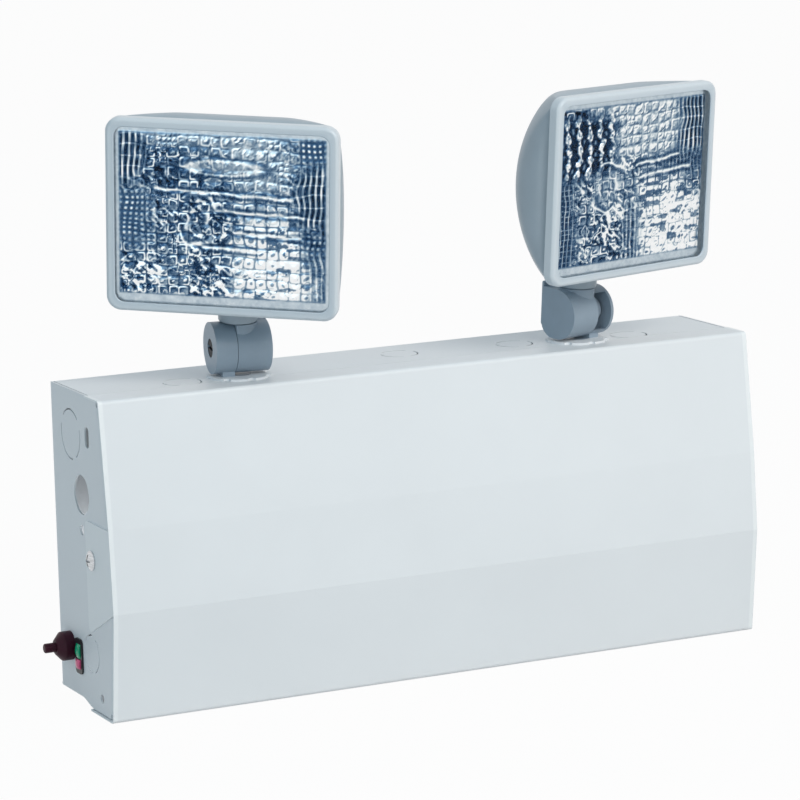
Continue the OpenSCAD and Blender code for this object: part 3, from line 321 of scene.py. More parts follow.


# Prism pattern of a lens, over u to the right and v up, both from -1 to 1: its tones are painted light, a
# painted reflection of the mirror, lamp and room seen through the prisms with painted highlights and shadows.
# Tones run from 0, the darkest, to 1, white. In the settings an edge or an opening is where a mark starts and
# where it is full. A noise's seed is the view's seed plus a number, or a fixed one.
lensViews = {
    # areas are (weight, u from, u to, v from, v to), a ring is (u, v, half width, half height),
    # bars are (v, u from, u to) and ovals (u, v, half width, half height)
    "left": {
        "seed": 3.1,
        "navy": [(0.9, -1, -0.1, 0.3, 0.8), (1, 0.7, 1, -0.4, 0.6), (0.5, -0.6, 0.1, -0.2, 0.3)],
        "grey": [(1, -0.7, 0.18, 0.83, 1.1), (0.75, 0.1, 0.62, 0.3, 0.95), (0.35, -0.3, 0.2, 0.55, 0.8)],
        "grid": [(1, 0.66, 1.1, 0.6, 1.1), (0.9, -1.1, -0.66, -0.35, 0.28), (0.8, 0.72, 1.1, -0.5, -0.1)],
        "gridKind": "dots",
        "flutes": [(1, -1.1, -0.72, 0.35, 1.1), (1, 0.68, 1.1, -0.05, 0.58), (0.5, 0.75, 1.1, -1.0, -0.3)],
        "chains": [],
        "glare": [(1, 0.12, 0.86, -1.1, -0.3), (0.9, 0.15, 0.72, -0.3, 0.0), (0.5, 0.1, 0.66, 0.0, 0.25)],
        "ring": (-0.22, -0.03, 0.16, 0.30), "barRise": -0.05,
        "bars": [(0.30, -0.60, 0.62), (0.09, -0.04, 0.72), (-0.15, 0.13, 0.70), (-0.32, -0.17, 0.3)],
        "ovals": [(0.0, 0.55, 0.31, 0.075), (-0.08, 0.40, 0.07, 0.04)],
    },
    "right": {
        "seed": 8.7,
        "navy": [(1.0, -1.1, -0.3, 0.1, 1.1), (0.8, 0.45, 1, 0.1, 0.35), (0.8, -1.1, -0.75, -1.1, 0.1)],
        "grey": [(1, -0.3, 0.62, 0.3, 1.1), (0.5, -0.6, -0.2, 0.75, 1.1)],
        "grid": [(1, -1.1, -0.74, -1.1, 0.1), (0.8, 0.45, 1.1, 0.05, 0.3)],
        "gridKind": "wires",
        "flutes": [(1, 0.6, 1.1, 0.3, 1.1), (0.6, -0.12, 0.12, -1.1, -0.25)],
        "chains": [(1, -0.95, -0.25, 0.12, 0.8)],
        "glare": [(1.1, 0.1, 1.1, -1.1, -0.2), (0.8, 0.05, 0.7, -0.2, 0.18),
                  (0.35, -0.5, -0.05, -0.25, 0.15)],
        "ring": (-0.32, -0.02, 0.26, 0.26), "barRise": 0.10,
        "bars": [(0.20, 0.05, 0.6), (0.05, 0.1, 0.75)],
        "ovals": [],
    },
}


def cellNumber(i, j, seed):
    # a number from 0 to 1 for each cell: the fraction of a large sine, whose factors only have to be unlike
    value = np.sin(i * 12.9898 + j * 78.233 + seed * 37.719) * 43758.5453
    return value - np.floor(value)


def ease(start, end, x):
    # 0 before start, 1 after end, and 3t^2 - 2t^3 between them
    t = np.clip((x - start) / (end - start), 0, 1)
    return t * t * (3 - 2 * t)


def softNoise(u, v, scale, seed):
    # the numbers of the four nearest cells, eased into each other
    x, y = (u + 1) * scale, (v + 1) * scale
    i, j = np.floor(x), np.floor(y)
    fx, fy = ease(0, 1, x - i), ease(0, 1, y - j)
    low = cellNumber(i, j, seed) * (1 - fx) + cellNumber(i + 1, j, seed) * fx
    high = cellNumber(i, j + 1, seed) * (1 - fx) + cellNumber(i + 1, j + 1, seed) * fx
    return low * (1 - fy) + high * fy


def sway(u, v, scale, seed):
    # the same noise about 0
    return softNoise(u, v, scale, seed) - 0.5


def grown(pair, number):
    # the pair's first value, and its second one times number added
    return pair[0] + pair[1] * number


def over(tone, level, amount):
    # level laid over tone by amount
    return tone + (level - tone) * amount


def ridge(distance, width):
    # a soft line: exp of minus the squared distance in widths
    return np.exp(-(distance / width) ** 2)


areaLook = {"soft": 0.12, "ragged": 0.10, "raggedScale": 9, "raggedSeed": 5.5}


def areas(u, v, boxes):
    # a sum of boxes with soft, wavy edges, held under 1
    soft = areaLook["soft"]
    ragged = areaLook["ragged"] * sway(u, v, areaLook["raggedScale"], areaLook["raggedSeed"])
    total = np.zeros_like(u)
    for weight, left, right, low, high in boxes:
        inU = ease(left - soft, left + soft, u + ragged) * ease(right + soft, right - soft, u + ragged)
        inV = ease(low - soft, low + soft, v - ragged) * ease(high + soft, high - soft, v - ragged)
        total = total + weight * inU * inV
    return np.clip(total, 0, 1)


# distances are in half cells; wide, tall, beanLong and beanThick are a least size and what a cell's own
# number adds to it
pillowLook = {
    "shiftU": 0.18, "shiftV": 0.16, "wide": (0.80, 0.16), "tall": (0.78, 0.18), "power": 5,
    "outline": 0.92, "outlineWidth": 0.17, "outlineOpening": (-0.35, 0.35), "faint": 0.5, "faintBelow": 0.25,
    "shadow": 0.60, "shadowWidth": 0.20, "shadowOpening": (-0.3, 0.5),
    "beanSlant": 0.6, "beanShift": 0.3, "beanLong": (0.20, 0.35), "beanThick": (0.16, 0.12),
}


def pillows(p, q, a, b, c, d):
    # a cell's pillow from the place in the cell and its numbers a to d: square is the distance from its
    # middle as a fifth-power square, outline a painted highlight round it that is open on one side, shadow a
    # painted shadow inside that, bean the distance from a slanting drop in the middle; the first value it
    # gives, x - y, is a slope for painted shading across the cell
    s = pillowLook
    x = (p - s["shiftU"] * (a - 0.5)) / grown(s["wide"], b)
    y = (q + s["shiftV"] * (b - 0.5)) / grown(s["tall"], a)
    square = (np.abs(x) ** s["power"] + np.abs(y) ** s["power"]) ** (1 / s["power"])
    facing = np.cos(np.arctan2(y, x) - 2 * math.pi * c)
    outline = ridge(square - s["outline"], s["outlineWidth"]) * ease(*s["outlineOpening"], facing)
    outline = outline * np.where(d > s["faintBelow"], 1.0, s["faint"])
    shadow = ridge(square - s["shadow"], s["shadowWidth"]) * ease(*s["shadowOpening"], facing)
    cosine, sine = math.cos(s["beanSlant"]), math.sin(s["beanSlant"])
    along, across = x * cosine + y * sine, y * cosine - x * sine
    bean = np.hypot((along - s["beanShift"] * (a - 0.5)) / grown(s["beanLong"], b),
                    across / grown(s["beanThick"], a))
    return x - y, square, outline, shadow, bean


cellLook = {
    "step": 0.0005, "columns": 20, "rows": 17, "bendU": 0.045, "bendV": 0.05, "bendScale": 6,
    "splitShare": 0.6, "splitScale": 4, "splitAbove": 0.74,
    "veinScale": 8, "fineVeinScale": 17, "fineVeinShare": 0.5, "veinTurns": 13, "veinEdge": (0.90, 0.985),
    "sparkleScale": 44, "fineSparkleScale": 70, "fineSparkleShare": 0.7, "sparkleMiddle": 0.85,
}


def prismCells(side, width, height):
    # what the layers of the pattern share: the bent rows and columns, the cells' numbers and pillows,
    # veins where the cosine of a noise nears 1, a fine painted sparkle about 0, and the dark blue areas of
    # painted reflection
    s, view = cellLook, lensViews[side]
    seed = view["seed"]
    u, v = np.meshgrid(np.linspace(-1, 1, int(width / s["step"])),
                       np.linspace(-1, 1, int(height / s["step"])))
    column = (u + s["bendU"] * sway(u, v, s["bendScale"], seed) + 1) * s["columns"]
    row = (v + s["bendV"] * sway(v, u, s["bendScale"], seed + 4) + 1) * s["rows"]
    # in about a tenth of the cells the pillow is four small ones
    chosen = cellNumber(np.floor(column / 2), np.floor(row / 2), seed + 20) * s["splitShare"]
    chosen = chosen + (1 - s["splitShare"]) * softNoise(u, v, s["splitScale"], seed + 21)
    split = np.where(chosen > s["splitAbove"], 2, 1)
    x, y = column / 2 * split, row / 2 * split
    i, j = np.floor(x), np.floor(y)
    a, b, c, d = (cellNumber(i, j, seed + number) for number in (0, 1.7, 5.3, 9.1))
    lean, square, outline, shadow, bean = pillows(2 * (x - i) - 1, 2 * (y - j) - 1, a, b, c, d)
    wander = softNoise(u, v, s["veinScale"], seed + 2)
    wander = wander + s["fineVeinShare"] * softNoise(v, u, s["fineVeinScale"], seed + 3)
    sparkle = softNoise(u, v, s["sparkleScale"], seed + 8)
    sparkle = sparkle + s["fineSparkleShare"] * softNoise(u, v, s["fineSparkleScale"], seed + 11)
    return SimpleNamespace(
        view=view, seed=seed, u=u, v=v, column=column, row=row, a=a, b=b, c=c, d=d,
        lean=lean, square=square, outline=outline, shadow=shadow, bean=bean,
        veins=ease(*s["veinEdge"], np.cos(wander * s["veinTurns"])),
        sparkle=sparkle - s["sparkleMiddle"], navy=areas(u, v, view["navy"]))


# for a mark: its tone, how much of it is laid over, and how much less of it in the dark blue areas
pillowTone = {
    "middle": 0.34, "navy": 0.22, "uneven": 0.22, "lean": 0.09, "sparkle": 0.24, "dark": 0.05,
    "joints": 0.75, "jointEdge": (0.96, 1.12), "shadows": 0.85,
    "veinTone": 0.95, "veins": 0.6, "veinsLess": 0.5,
    "outlineTone": 0.96, "beans": 0.85, "beansLess": 0.6, "beanEdge": (1.25, 0.75), "beanAbove": 0.5,
    "reliefEdge": (1.1, 0.3), "reliefs": {"pillow": 0.6, "outline": 0.5, "bean": 0.3, "vein": 0.2},
}


def pillowLayer(cells):
    # dark joints between the cells, painted shading across each pillow and a painted sparkle, the pillows'
    # painted shadows, and veins, outlines and drops as painted highlights
    s, rise = pillowTone, pillowTone["reliefs"]
    beans = ease(*s["beanEdge"], cells.bean) * (cells.c > s["beanAbove"])
    tone = s["middle"] - s["navy"] * cells.navy + s["uneven"] * (cells.d - 0.5) + s["lean"] * cells.lean
    tone = tone + s["sparkle"] * cells.sparkle
    tone = over(tone, s["dark"], s["joints"] * ease(*s["jointEdge"], cells.square))
    tone = over(tone, s["dark"], s["shadows"] * cells.shadow)
    tone = over(tone, s["veinTone"], s["veins"] * cells.veins * (1 - s["veinsLess"] * cells.navy))
    bright = cells.outline + s["beans"] * beans * (1 - s["beansLess"] * cells.navy)
    tone = over(tone, s["outlineTone"], np.clip(bright, 0, 1))
    relief = rise["pillow"] * ease(*s["reliefEdge"], cells.square) + rise["outline"] * cells.outline
    return tone, relief + rise["bean"] * beans + rise["vein"] * cells.veins


strokeLook = {
    "scale": 30, "flat": 0.5, "patchScale": 5, "patchEdge": (0.36, 0.60), "relief": 0.3,
    "darkTone": 0.03, "dark": 0.85, "darkEdge": (0.38, 0.26),
    "brightTone": 0.98, "bright": 0.9, "brightLess": 0.4, "brightEdge": (0.68, 0.78),
}


def strokeLayer(cells, tone, relief):
    # slanting strokes of painted shade and painted highlight in patches, from a noise that is stretched along
    # a diagonal
    s = strokeLook
    slant = softNoise(cells.u + cells.v, s["flat"] * (cells.u - cells.v), s["scale"], cells.seed + 16)
    patch = ease(*s["patchEdge"], softNoise(cells.u, cells.v, s["patchScale"], cells.seed + 17))
    tone = over(tone, s["darkTone"], s["dark"] * patch * ease(*s["darkEdge"], slant))
    bright = s["bright"] * patch * ease(*s["brightEdge"], slant) * (1 - s["brightLess"] * cells.navy)
    return over(tone, s["brightTone"], bright), relief + s["relief"] * patch * slant


glareLook = {
    "jointEdge": (0.84, 1.06), "faint": 0.3, "faintBelow": 0.4, "beanEdge": (1.7, 1.1), "beanAbove": 0.5,
    "veins": 0.7, "veinAbove": 0.3, "waves": 1.1, "waveEdge": (0.64, 0.74), "waveStretch": 0.4,
    "waveScale": 23, "waveSparkle": 0.25, "gapDepth": 0.72, "gaps": 1.2, "gapsLess": 0.5,
    "calmEdge": (0.1, 0.9), "calmBelow": 0.5,
}


def glareLayer(cells, tone, relief):
    # painted glare: white with grey gaps at joints, drops, veins and lying waves, fewer of them low in the
    # glare
    s = glareLook
    glare = areas(cells.u, cells.v, cells.view["glare"])
    gap = ease(*s["jointEdge"], cells.square) * np.where(cells.a > s["faintBelow"], 1.0, s["faint"])
    gap = gap + ease(*s["beanEdge"], cells.bean) * (cells.d > s["beanAbove"])
    gap = gap + s["veins"] * cells.veins * (cells.b > s["veinAbove"])
    wave = softNoise(s["waveStretch"] * cells.u, cells.v, s["waveScale"], cells.seed + 12)
    wave = wave + s["waveSparkle"] * cells.sparkle
    gap = gap + s["waves"] * ease(*s["waveEdge"], wave)
    calm = s["gaps"] - s["gapsLess"] * ease(*s["calmEdge"], glare * (s["calmBelow"] - cells.v))
    return over(tone, 1.0 - s["gapDepth"] * np.clip(gap * calm, 0, 1), glare), relief


greyLook = {"middle": 0.60, "slope": 1.1, "sparkle": 0.20}


def greyLayer(cells, tone, relief):
    # painted shading: a soft grey made lighter or darker by the relief's slope, as if lit from one side
    s = greyLook
    slopeV, slopeU = np.gradient(relief)
    grey = s["middle"] + s["slope"] * (slopeU - slopeV) + s["sparkle"] * cells.sparkle
    return over(tone, grey, areas(cells.u, cells.v, cells.view["grey"])), relief


chainLook = {
    "columns": 14, "rows": 13, "snake": 0.10, "snakeTurns": 11, "bend": 0.28, "bendScale": 8,
    "stagger": 0.2, "wander": 0.06, "wanderScale": 7, "wide": 0.66, "widen": 0.22,
    "outside": 0.16, "inside": 0.12, "ragged": 0.16, "gapTone": (0.70, 0.9), "beadTone": (0.05, 0.1),
    "coreTone": 0.62, "core": 0.8, "coreWidth": 0.2, "coreEdge": (0.1, 0.7), "coreScale": 9, "coreAbove": 0.5,
}


def chainLayer(cells, tone, relief):
    # upright chains of painted reflection, dark beads with a pale core; a column's half width is a cosine of
    # the height
    s = chainLook
    chains = areas(cells.u, cells.v, cells.view["chains"])
    x = (cells.u + 1) * s["columns"] / 2 + s["snake"] * np.sin(cells.v * s["snakeTurns"])
    x = x + s["bend"] * sway(cells.u, cells.v, s["bendScale"], cells.seed)
    fromMiddle = np.abs(2 * (x - np.floor(x)) - 1)
    y = cells.v + s["stagger"] * cellNumber(np.floor(x), 0, cells.seed)
    y = y + s["wander"] * sway(cells.u, cells.v, s["wanderScale"], cells.seed + 14)
    wave = np.cos(y * s["rows"] * math.pi)
    width = s["wide"] + s["widen"] * wave
    bead = ease(width + s["outside"], width - s["inside"], fromMiddle + s["ragged"] * cells.sparkle)
    core = ridge(fromMiddle, s["coreWidth"]) * ease(*s["coreEdge"], wave)
    core = core * (softNoise(cells.u, cells.v, s["coreScale"], cells.seed + 15) > s["coreAbove"])
    link = over(grown(s["gapTone"], cells.sparkle), grown(s["beadTone"], cells.sparkle), bead)
    return over(tone, over(link, s["coreTone"], s["core"] * core), chains), over(relief, 1 - bead, chains)


gridLook = {
    "dotEdge": (0.45, 0.95), "wireEdge": (0.3, 0.9), "wirePowerU": 12, "wirePowerV": 14, "wireV": 0.7,
    "dark": 0.20, "navy": 0.1, "bright": 0.75, "uneven": (0.45, 0.55), "unevenScale": 12, "relief": 0.6,
}


def gridLayer(cells, tone, relief):
    # a fine grid of dots or of wires in painted highlight, from sines of the bent columns and rows
    s = gridLook
    grid = areas(cells.u, cells.v, cells.view["grid"])
    waveU, waveV = np.abs(np.sin(cells.column * math.pi)), np.abs(np.sin(cells.row * math.pi))
    if cells.view["gridKind"] == "dots":
        fine = ease(*s["dotEdge"], waveU * waveV)
    else:
        wires = np.maximum(waveU ** s["wirePowerU"], s["wireV"] * waveV ** s["wirePowerV"])
        fine = ease(*s["wireEdge"], wires)
    uneven = grown(s["uneven"], softNoise(cells.u, cells.v, s["unevenScale"], cells.seed + 7))
    fineTone = s["dark"] - s["navy"] * cells.navy + s["bright"] * fine * uneven
    return over(tone, fineTone, grid), over(relief, s["relief"] * fine, grid)


fluteLook = {
    "perCell": 1.9, "edge": (-0.1, 0.8), "uneven": (0.35, 0.65), "unevenScale": 9,
    "dashes": 0.4, "dashEdge": (0.9, 0.98), "tone": (0.06, 0.90),
}


def fluteLayer(cells, tone, relief):
    # upright flutes with painted highlights where the cosine of the bent columns is high, and dashes at the
    # rows
    s = fluteLook
    flutes = areas(cells.u, cells.v, cells.view["flutes"])
    wave = np.cos(cells.column * s["perCell"] * math.pi)
    uneven = grown(s["uneven"], softNoise(cells.u, cells.v, s["unevenScale"], cells.seed + 9))
    stripe = ease(*s["edge"], wave) * uneven
    dashes = s["dashes"] * ease(*s["dashEdge"], np.cos(cells.row * math.pi))
    bright = grown(s["tone"], np.clip(stripe + dashes, 0, 1))
    return over(tone, bright, flutes), over(relief, 0.5 + 0.5 * wave, flutes)


# a line is (radius as a share of the view's ring, width, tone)
ringLook = {
    "ragged": 0.35, "raggedScale": 9, "raggedSeed": 2.2, "lines": [(1.0, 0.07, 0.92), (0.55, 0.08, 0.85)],
    "breaks": 2, "breakTurn": 9, "darkTone": 0.08, "dark": 0.6, "darkOpening": (-0.6, 0.2),
    "bright": 0.9, "brightOpening": (-0.1, 0.6),
}


def ringMarks(cells, tone):
    # painted reflection of the mirror: broken bright rings round the lamp, each with a dark line inside
    s = ringLook
    middleU, middleV, wide, tall = cells.view["ring"]
    turn = np.arctan2(cells.v - middleV, cells.u - middleU)
    radius = np.hypot((cells.u - middleU) / wide, (cells.v - middleV) / tall)
    radius = radius + s["ragged"] * sway(cells.u, cells.v, s["raggedScale"], s["raggedSeed"])
    for share, width, level in s["lines"]:
        broken = np.cos(turn * s["breaks"] + share * s["breakTurn"] + 1)
        dark = s["dark"] * ridge(radius - share + 2 * width, width) * ease(*s["darkOpening"], broken)
        bright = s["bright"] * ridge(radius - share, width) * ease(*s["brightOpening"], broken)
        tone = over(over(tone, s["darkTone"], dark), level, bright)
    return tone


barLook = {
    "fade": 0.03, "uneven": (0.6, 0.4), "unevenScale": 14, "wander": 0.02, "wanderScale": 12,
    "darkTone": 0.06, "dark": 0.8, "darkOffset": 0.035, "darkWidth": 0.016,
    "brightTone": 0.97, "width": 0.014,
}


def barMarks(cells, tone):
    # painted reflection of the mirror: lying bright bars between two dark lines
    s = barLook
    for height, start, end in cells.view["bars"]:
        along = ease(start - s["fade"], start, cells.u) * ease(end + s["fade"], end, cells.u)
        along = along * grown(s["uneven"], softNoise(cells.u, cells.v, s["unevenScale"], cells.seed))
        away = cells.v - height - cells.view["barRise"] * (cells.u - start)
        away = away - s["wander"] * sway(cells.u, cells.v, s["wanderScale"], cells.seed + 5)
        for offset in (-s["darkOffset"], s["darkOffset"]):
            tone = over(tone, s["darkTone"], s["dark"] * ridge(away + offset, s["darkWidth"]) * along)
        tone = over(tone, s["brightTone"], ridge(away, s["width"]) * along)
    return tone


ovalLook = {
    "fillTone": 0.55, "fill": 0.6, "fillEdge": (0.9, 0.6), "lineTone": 0.92, "line": (0.4, 0.5),
    "lineScale": 12, "lineWidth": 0.15, "darkTone": 0.12, "dark": 0.6, "darkRadius": 1.4, "darkWidth": 0.16,
}


def ovalMarks(cells, tone):
    # painted reflection of the mirror and lamp: flat ovals, a grey middle, a bright line round it and a dark
    # one outside that
    s = ovalLook
    for middleU, middleV, wide, tall in cells.view["ovals"]:
        oval = np.hypot((cells.u - middleU) / wide, (cells.v - middleV) / tall)
        line = grown(s["line"], softNoise(cells.u, cells.v, s["lineScale"], cells.seed + 18))
        tone = over(tone, s["fillTone"], s["fill"] * ease(*s["fillEdge"], oval))
        tone = over(tone, s["lineTone"], line * ridge(oval - 1, s["lineWidth"]))
        tone = over(tone, s["darkTone"], s["dark"] * ridge(oval - s["darkRadius"], s["darkWidth"]))
    return tone


def prismField(side, width, height):
    # height of the prisms and the painted tone of the light in them: pillows and strokes everywhere, then in
    # their own areas glare, soft grey, chains of beads, a fine grid and upright flutes, each laid over what
    # is there, and on top a painted reflection of the mirror and lamp
    cells = prismCells(side, width, height)
    tone, relief = pillowLayer(cells)
    for layer in (strokeLayer, glareLayer, greyLayer, chainLayer, gridLayer, fluteLayer):
        tone, relief = layer(cells, tone, relief)
    for marks in (ringMarks, barMarks, ovalMarks):
        tone = marks(cells, tone)
    return cells.u, cells.v, relief, tone


# Lens: a clear skin in front and the relief sheet behind it; places along Y are in head coordinates
lensLook = {
    "width": 0.1228, "height": 0.1018, "cornerRadius": 0.0056, "cornerSteps": 8, "edge": 0.0002,
    "front": 0.0012, "plateBack": 0.0016,
}
sheetLook = {
    "inset": 0.0003, "prismBase": 0.0029, "prismBack": 0.0038, "relief": 0.0009, "fullRelief": 1.4,
    "border": {"left": 0.0046, "right": 0.0046, "low": 0.0072, "high": 0.0052}, "borderBlend": 0.0009,
    "waver": 0.0007, "waverScale": 26, "waverSeed": 6.6, "rimTone": 0.5,
    "borderTone": 0.66, "borderMottle": 0.05, "mottleScale": 18, "mottleSeed": 4.4,
    "lineTone": 0.25, "line": 0.5, "lineWidth": 0.0005,
}
prismSkin = {
    "stops": [(0.0, (0.002, 0.006, 0.014)), (0.10, (0.006, 0.028, 0.075)), (0.24, (0.040, 0.095, 0.185)),
              (0.39, (0.12, 0.205, 0.31)), (0.54, (0.31, 0.41, 0.50)), (0.68, (0.60, 0.68, 0.73)),
              (0.82, (0.96, 0.98, 0.98)), (1.0, (1.0, 1.0, 1.0))],
    "fleckScale": 420, "fleckDetail": 3.0, "flecks": 0.20,
    # Emission Strength is a faint glow in the tone's own colour, a painted reflection of the lights
    "Emission Strength": 0.10, "Metallic": 1.0, "Roughness": 0.28, "Alpha": 0.94,
}


def lensPlate(side):
    # clear outer skin: a rounded plate with a small rounded front edge
    s = lensLook
    stations = ((s["edge"], s["front"]), (0.0, s["front"] + s["edge"]), (0.0, s["plateBack"]))
    rings = [roundedRing(s["width"] - 2 * inset, s["height"] - 2 * inset, s["cornerRadius"], depth,
                         s["cornerSteps"]) for inset, depth in stations]
    count = len(rings[0])
    points = placeInHead(side, np.concatenate(rings))
    quads = gridQuads(len(rings), count, wrap=True)[:, ::-1]
    caps = [np.arange(count), np.arange(2 * count, 3 * count)[::-1]]
    piece = addMesh(side + "_lens_skin", points, quads, caps, smooth=False)
    piece.data.materials.append(skins["clear_lens"])
    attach(piece, side + "_head")
    return piece


def prismMaterial():
    # the tone of each point, with fine flecks, sets its colour from night blue through steel blue to white,
    # and a faint glow in that colour paints the reflection of the lights
    s = prismSkin
    material, nodes, links, skin = nodeMaterial("prism_glass")
    shift = nodes.new("ShaderNodeMath")
    shift.operation = "MULTIPLY_ADD"
    shift.inputs[1].default_value = s["flecks"]
    shift.inputs[2].default_value = -s["flecks"] / 2
    add = nodes.new("ShaderNodeMath")
    add.operation = "ADD"
    ramp = nodes.new("ShaderNodeValToRGB")
    stops, elements = s["stops"], ramp.color_ramp.elements
    for element, (position, colour) in zip(elements, (stops[0], stops[-1])):
        element.position, element.color = position, (*colour, 1)
    for position, colour in stops[1:-1]:
        elements.new(position).color = (*colour, 1)
    links.new(noiseOn(nodes, links, s["fleckScale"], s["fleckDetail"]), shift.inputs[0])
    links.new(ownAttribute(nodes, "tone"), add.inputs[0])
    links.new(shift.outputs[0], add.inputs[1])
    links.new(add.outputs[0], ramp.inputs["Fac"])
    links.new(ramp.outputs["Color"], skin.inputs["Base Color"])
    links.new(ramp.outputs["Color"], skin.inputs["Emission Color"])
    for socket in ("Emission Strength", "Metallic", "Roughness", "Alpha"):
        skin.inputs[socket].default_value = s[socket]
    return material


def sheetBorder(u, v, relief, tone):
    # the pattern ends in a plain, flat border with a dark line where it starts
    s, border = sheetLook, sheetLook["border"]
    halfWide, halfTall = lensLook["width"] / 2, lensLook["height"] / 2
    inside = np.minimum.reduce([(1 + u) * halfWide - border["left"], (1 - u) * halfWide - border["right"],
                                (1 + v) * halfTall - border["low"], (1 - v) * halfTall - border["high"]])
    waver = s["waver"] * sway(u, v, s["waverScale"], s["waverSeed"])
    patterned = ease(-s["borderBlend"], s["borderBlend"], inside + waver)
    plain = s["borderTone"] + s["borderMottle"] * sway(u, v, s["mottleScale"], s["mottleSeed"])
    tone = over(over(plain, tone, patterned), s["lineTone"], s["line"] * ridge(inside, s["lineWidth"]))
    return np.clip(relief / s["fullRelief"], 0, 1) * patterned, tone


def sheetOutline(u, v):
    # the corners are drawn in to the plate's rounding: past the middles of the corner circles the larger of
    # the two distances becomes the distance from that middle
    s, tiny = lensLook, 1e-9
    x, z = u * (s["width"] / 2 - sheetLook["inset"]), v * (s["height"] / 2 - sheetLook["inset"])
    cx, cz = s["width"] / 2 - s["cornerRadius"], s["height"] / 2 - s["cornerRadius"]
    dx, dz = np.maximum(np.abs(x) - cx, 0), np.maximum(np.abs(z) - cz, 0)
    reach = np.maximum(np.hypot(dx, dz), tiny)
    pull = np.where((dx > 0) & (dz > 0), np.maximum(dx, dz) / reach, 1.0)
    x = np.sign(x) * (np.minimum(np.abs(x), cx) + dx * pull)
    z = np.sign(z) * (np.minimum(np.abs(z), cz) + dz * pull)
    return x, z


def prismSheet(side, material):
    # relief: the prism height stands forward of the sheet's base; a flat back and a rim close it
    s = sheetLook
    u, v, relief, tone = prismField(side, lensLook["width"], lensLook["height"])
    relief, tone = sheetBorder(u, v, relief, tone)
    x, z = sheetOutline(u, v)
    front = np.stack([x, s["prismBase"] - s["relief"] * relief, z], axis=-1).reshape(-1, 3)
    ring = borderRing(*u.shape)
    back = front[ring]
    back[:, 1] = s["prismBack"]
    count = len(front)
    follow = np.arange(len(ring))
    nextOne = (follow + 1) % len(ring)
    rim = np.stack([ring[follow], count + follow, count + nextOne, ring[nextOne]], axis=1)
    quads = np.concatenate([gridQuads(*u.shape), rim])
    piece = addMesh(side + "_prisms", placeInHead(side, np.concatenate([front, back])), quads,
                    [count + follow[::-1]])
    values = np.concatenate([tone.ravel(), np.full(len(ring), s["rimTone"])]).astype(np.float32)
    piece.data.attributes.new("tone", "FLOAT", "POINT").data.foreach_set("value", values)
    piece.data.materials.append(material)
    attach(piece, side + "_head")
    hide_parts(side + "_lens")
    return piece


prismGlass = prismMaterial()
for side in ("left", "right"):
    prismSheet(side, prismGlass)
    lensPlate(side)
print("lenses made")

# Outer shell and neck of the head's housing
shellLook = {
    "width": 0.1262, "height": 0.1052, "corner": 0.0075, "cornerSteps": 12, "rim": 0.0070, "lowest": 0.001,
    "depth": 0.0638, "draft": 0.003, "ball": 0.0832, "barrel": 0.0646, "round": 12, "meet": 0.0008,
    "wall": 0.002, "rings": 56, "around": 220, "crown": 0.012,
}
neckLook = {"radius": 0.011, "low": -0.0671, "high": -0.027, "edge": 0.0012, "edgeSteps": 6, "around": 64}


def headShell(side):
    # the outline ring shrinks by the cosine of an angle; its depth is the softer minimum of a ball and of a
    # wide barrel, times (1 - c^n)^(1/n) of the shrink c, so that the side walls turn into the crown softly
    s = shellLook
    corners = roundedRing(s["width"], s["height"], s["corner"], 0, s["cornerSteps"])
    closed = np.concatenate([corners, corners[:1]])
    length = np.concatenate([[0], np.cumsum(np.linalg.norm(np.diff(closed, axis=0), axis=1))])
    stops = np.linspace(0, length[-1], s["around"], endpoint=False)
    ringX, ringZ = np.interp(stops, length, closed[:, 0]), np.interp(stops, length, closed[:, 2])
    c = np.cos(np.linspace(0, math.pi / 2 - s["crown"], s["rings"]))[:, None]
    x, z = c * ringX, c * ringZ
    ballBack = s["depth"] - s["ball"] + np.sqrt(np.maximum(s["ball"] ** 2 - x * x - z * z, 0))
    barrelBack = s["depth"] - s["barrel"] + np.sqrt(s["barrel"] ** 2 - z * z)
    back = -s["meet"] * np.log(np.exp(-ballBack / s["meet"]) + np.exp(-barrelBack / s["meet"]))
    back = np.maximum(back, s["rim"] + s["lowest"])
    y = s["rim"] + (back - s["rim"]) * (1 - c ** s["round"]) ** (1 / s["round"])
    drawn = s["draft"] * (y - s["rim"]) / s["depth"]
    x, z = x * (1 - 2 * drawn / s["width"]), z * (1 - 2 * drawn / s["height"])
    points = np.stack([x, y, z], axis=-1).reshape(-1, 3)
    quads = gridQuads(s["rings"], s["around"], wrap=True)
    last = (s["rings"] - 1) * s["around"] + np.arange(s["around"])
    piece = addMesh(side + "_shell", placeInHead(side, points), quads, [last])
    solid = piece.modifiers.new("wall", "SOLIDIFY")
    solid.thickness = s["wall"]
    solid.offset = -1
    piece.data.materials.append(skins["housing_grey"])
    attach(piece, side + "_head")
    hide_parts(side + "_housing")
    return piece


def headNeck(side):
    # a turned post: radius over height with an eased lower edge
    s = neckLook
    bend = np.linspace(0, math.pi / 2, s["edgeSteps"])
    radius = np.concatenate([s["radius"] - s["edge"] * (1 - np.sin(bend)), [s["radius"]]])[:, None]
    height = np.concatenate([s["low"] + s["edge"] * (1 - np.cos(bend)), [s["high"]]])[:, None]
    rows, count = len(height), s["around"]
    turn = np.linspace(0, 2 * math.pi, count, endpoint=False)
    points = np.stack([radius * np.cos(turn), headPlace["faceForward"] + radius * np.sin(turn),
                       np.broadcast_to(height, (rows, count))], axis=-1).reshape(-1, 3)
    piece = addMesh(side + "_neck", placeInHead(side, points), gridQuads(rows, count, wrap=True),
                    [np.arange(count)[::-1], (rows - 1) * count + np.arange(count)])
    piece.data.materials.append(skins["housing_grey"])
    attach(piece, side + "_head")
    return piece


def meshPoints(mesh):
    points = np.empty(len(mesh.vertices) * 3)
    mesh.vertices.foreach_get("co", points)
    return points.reshape(-1, 3)


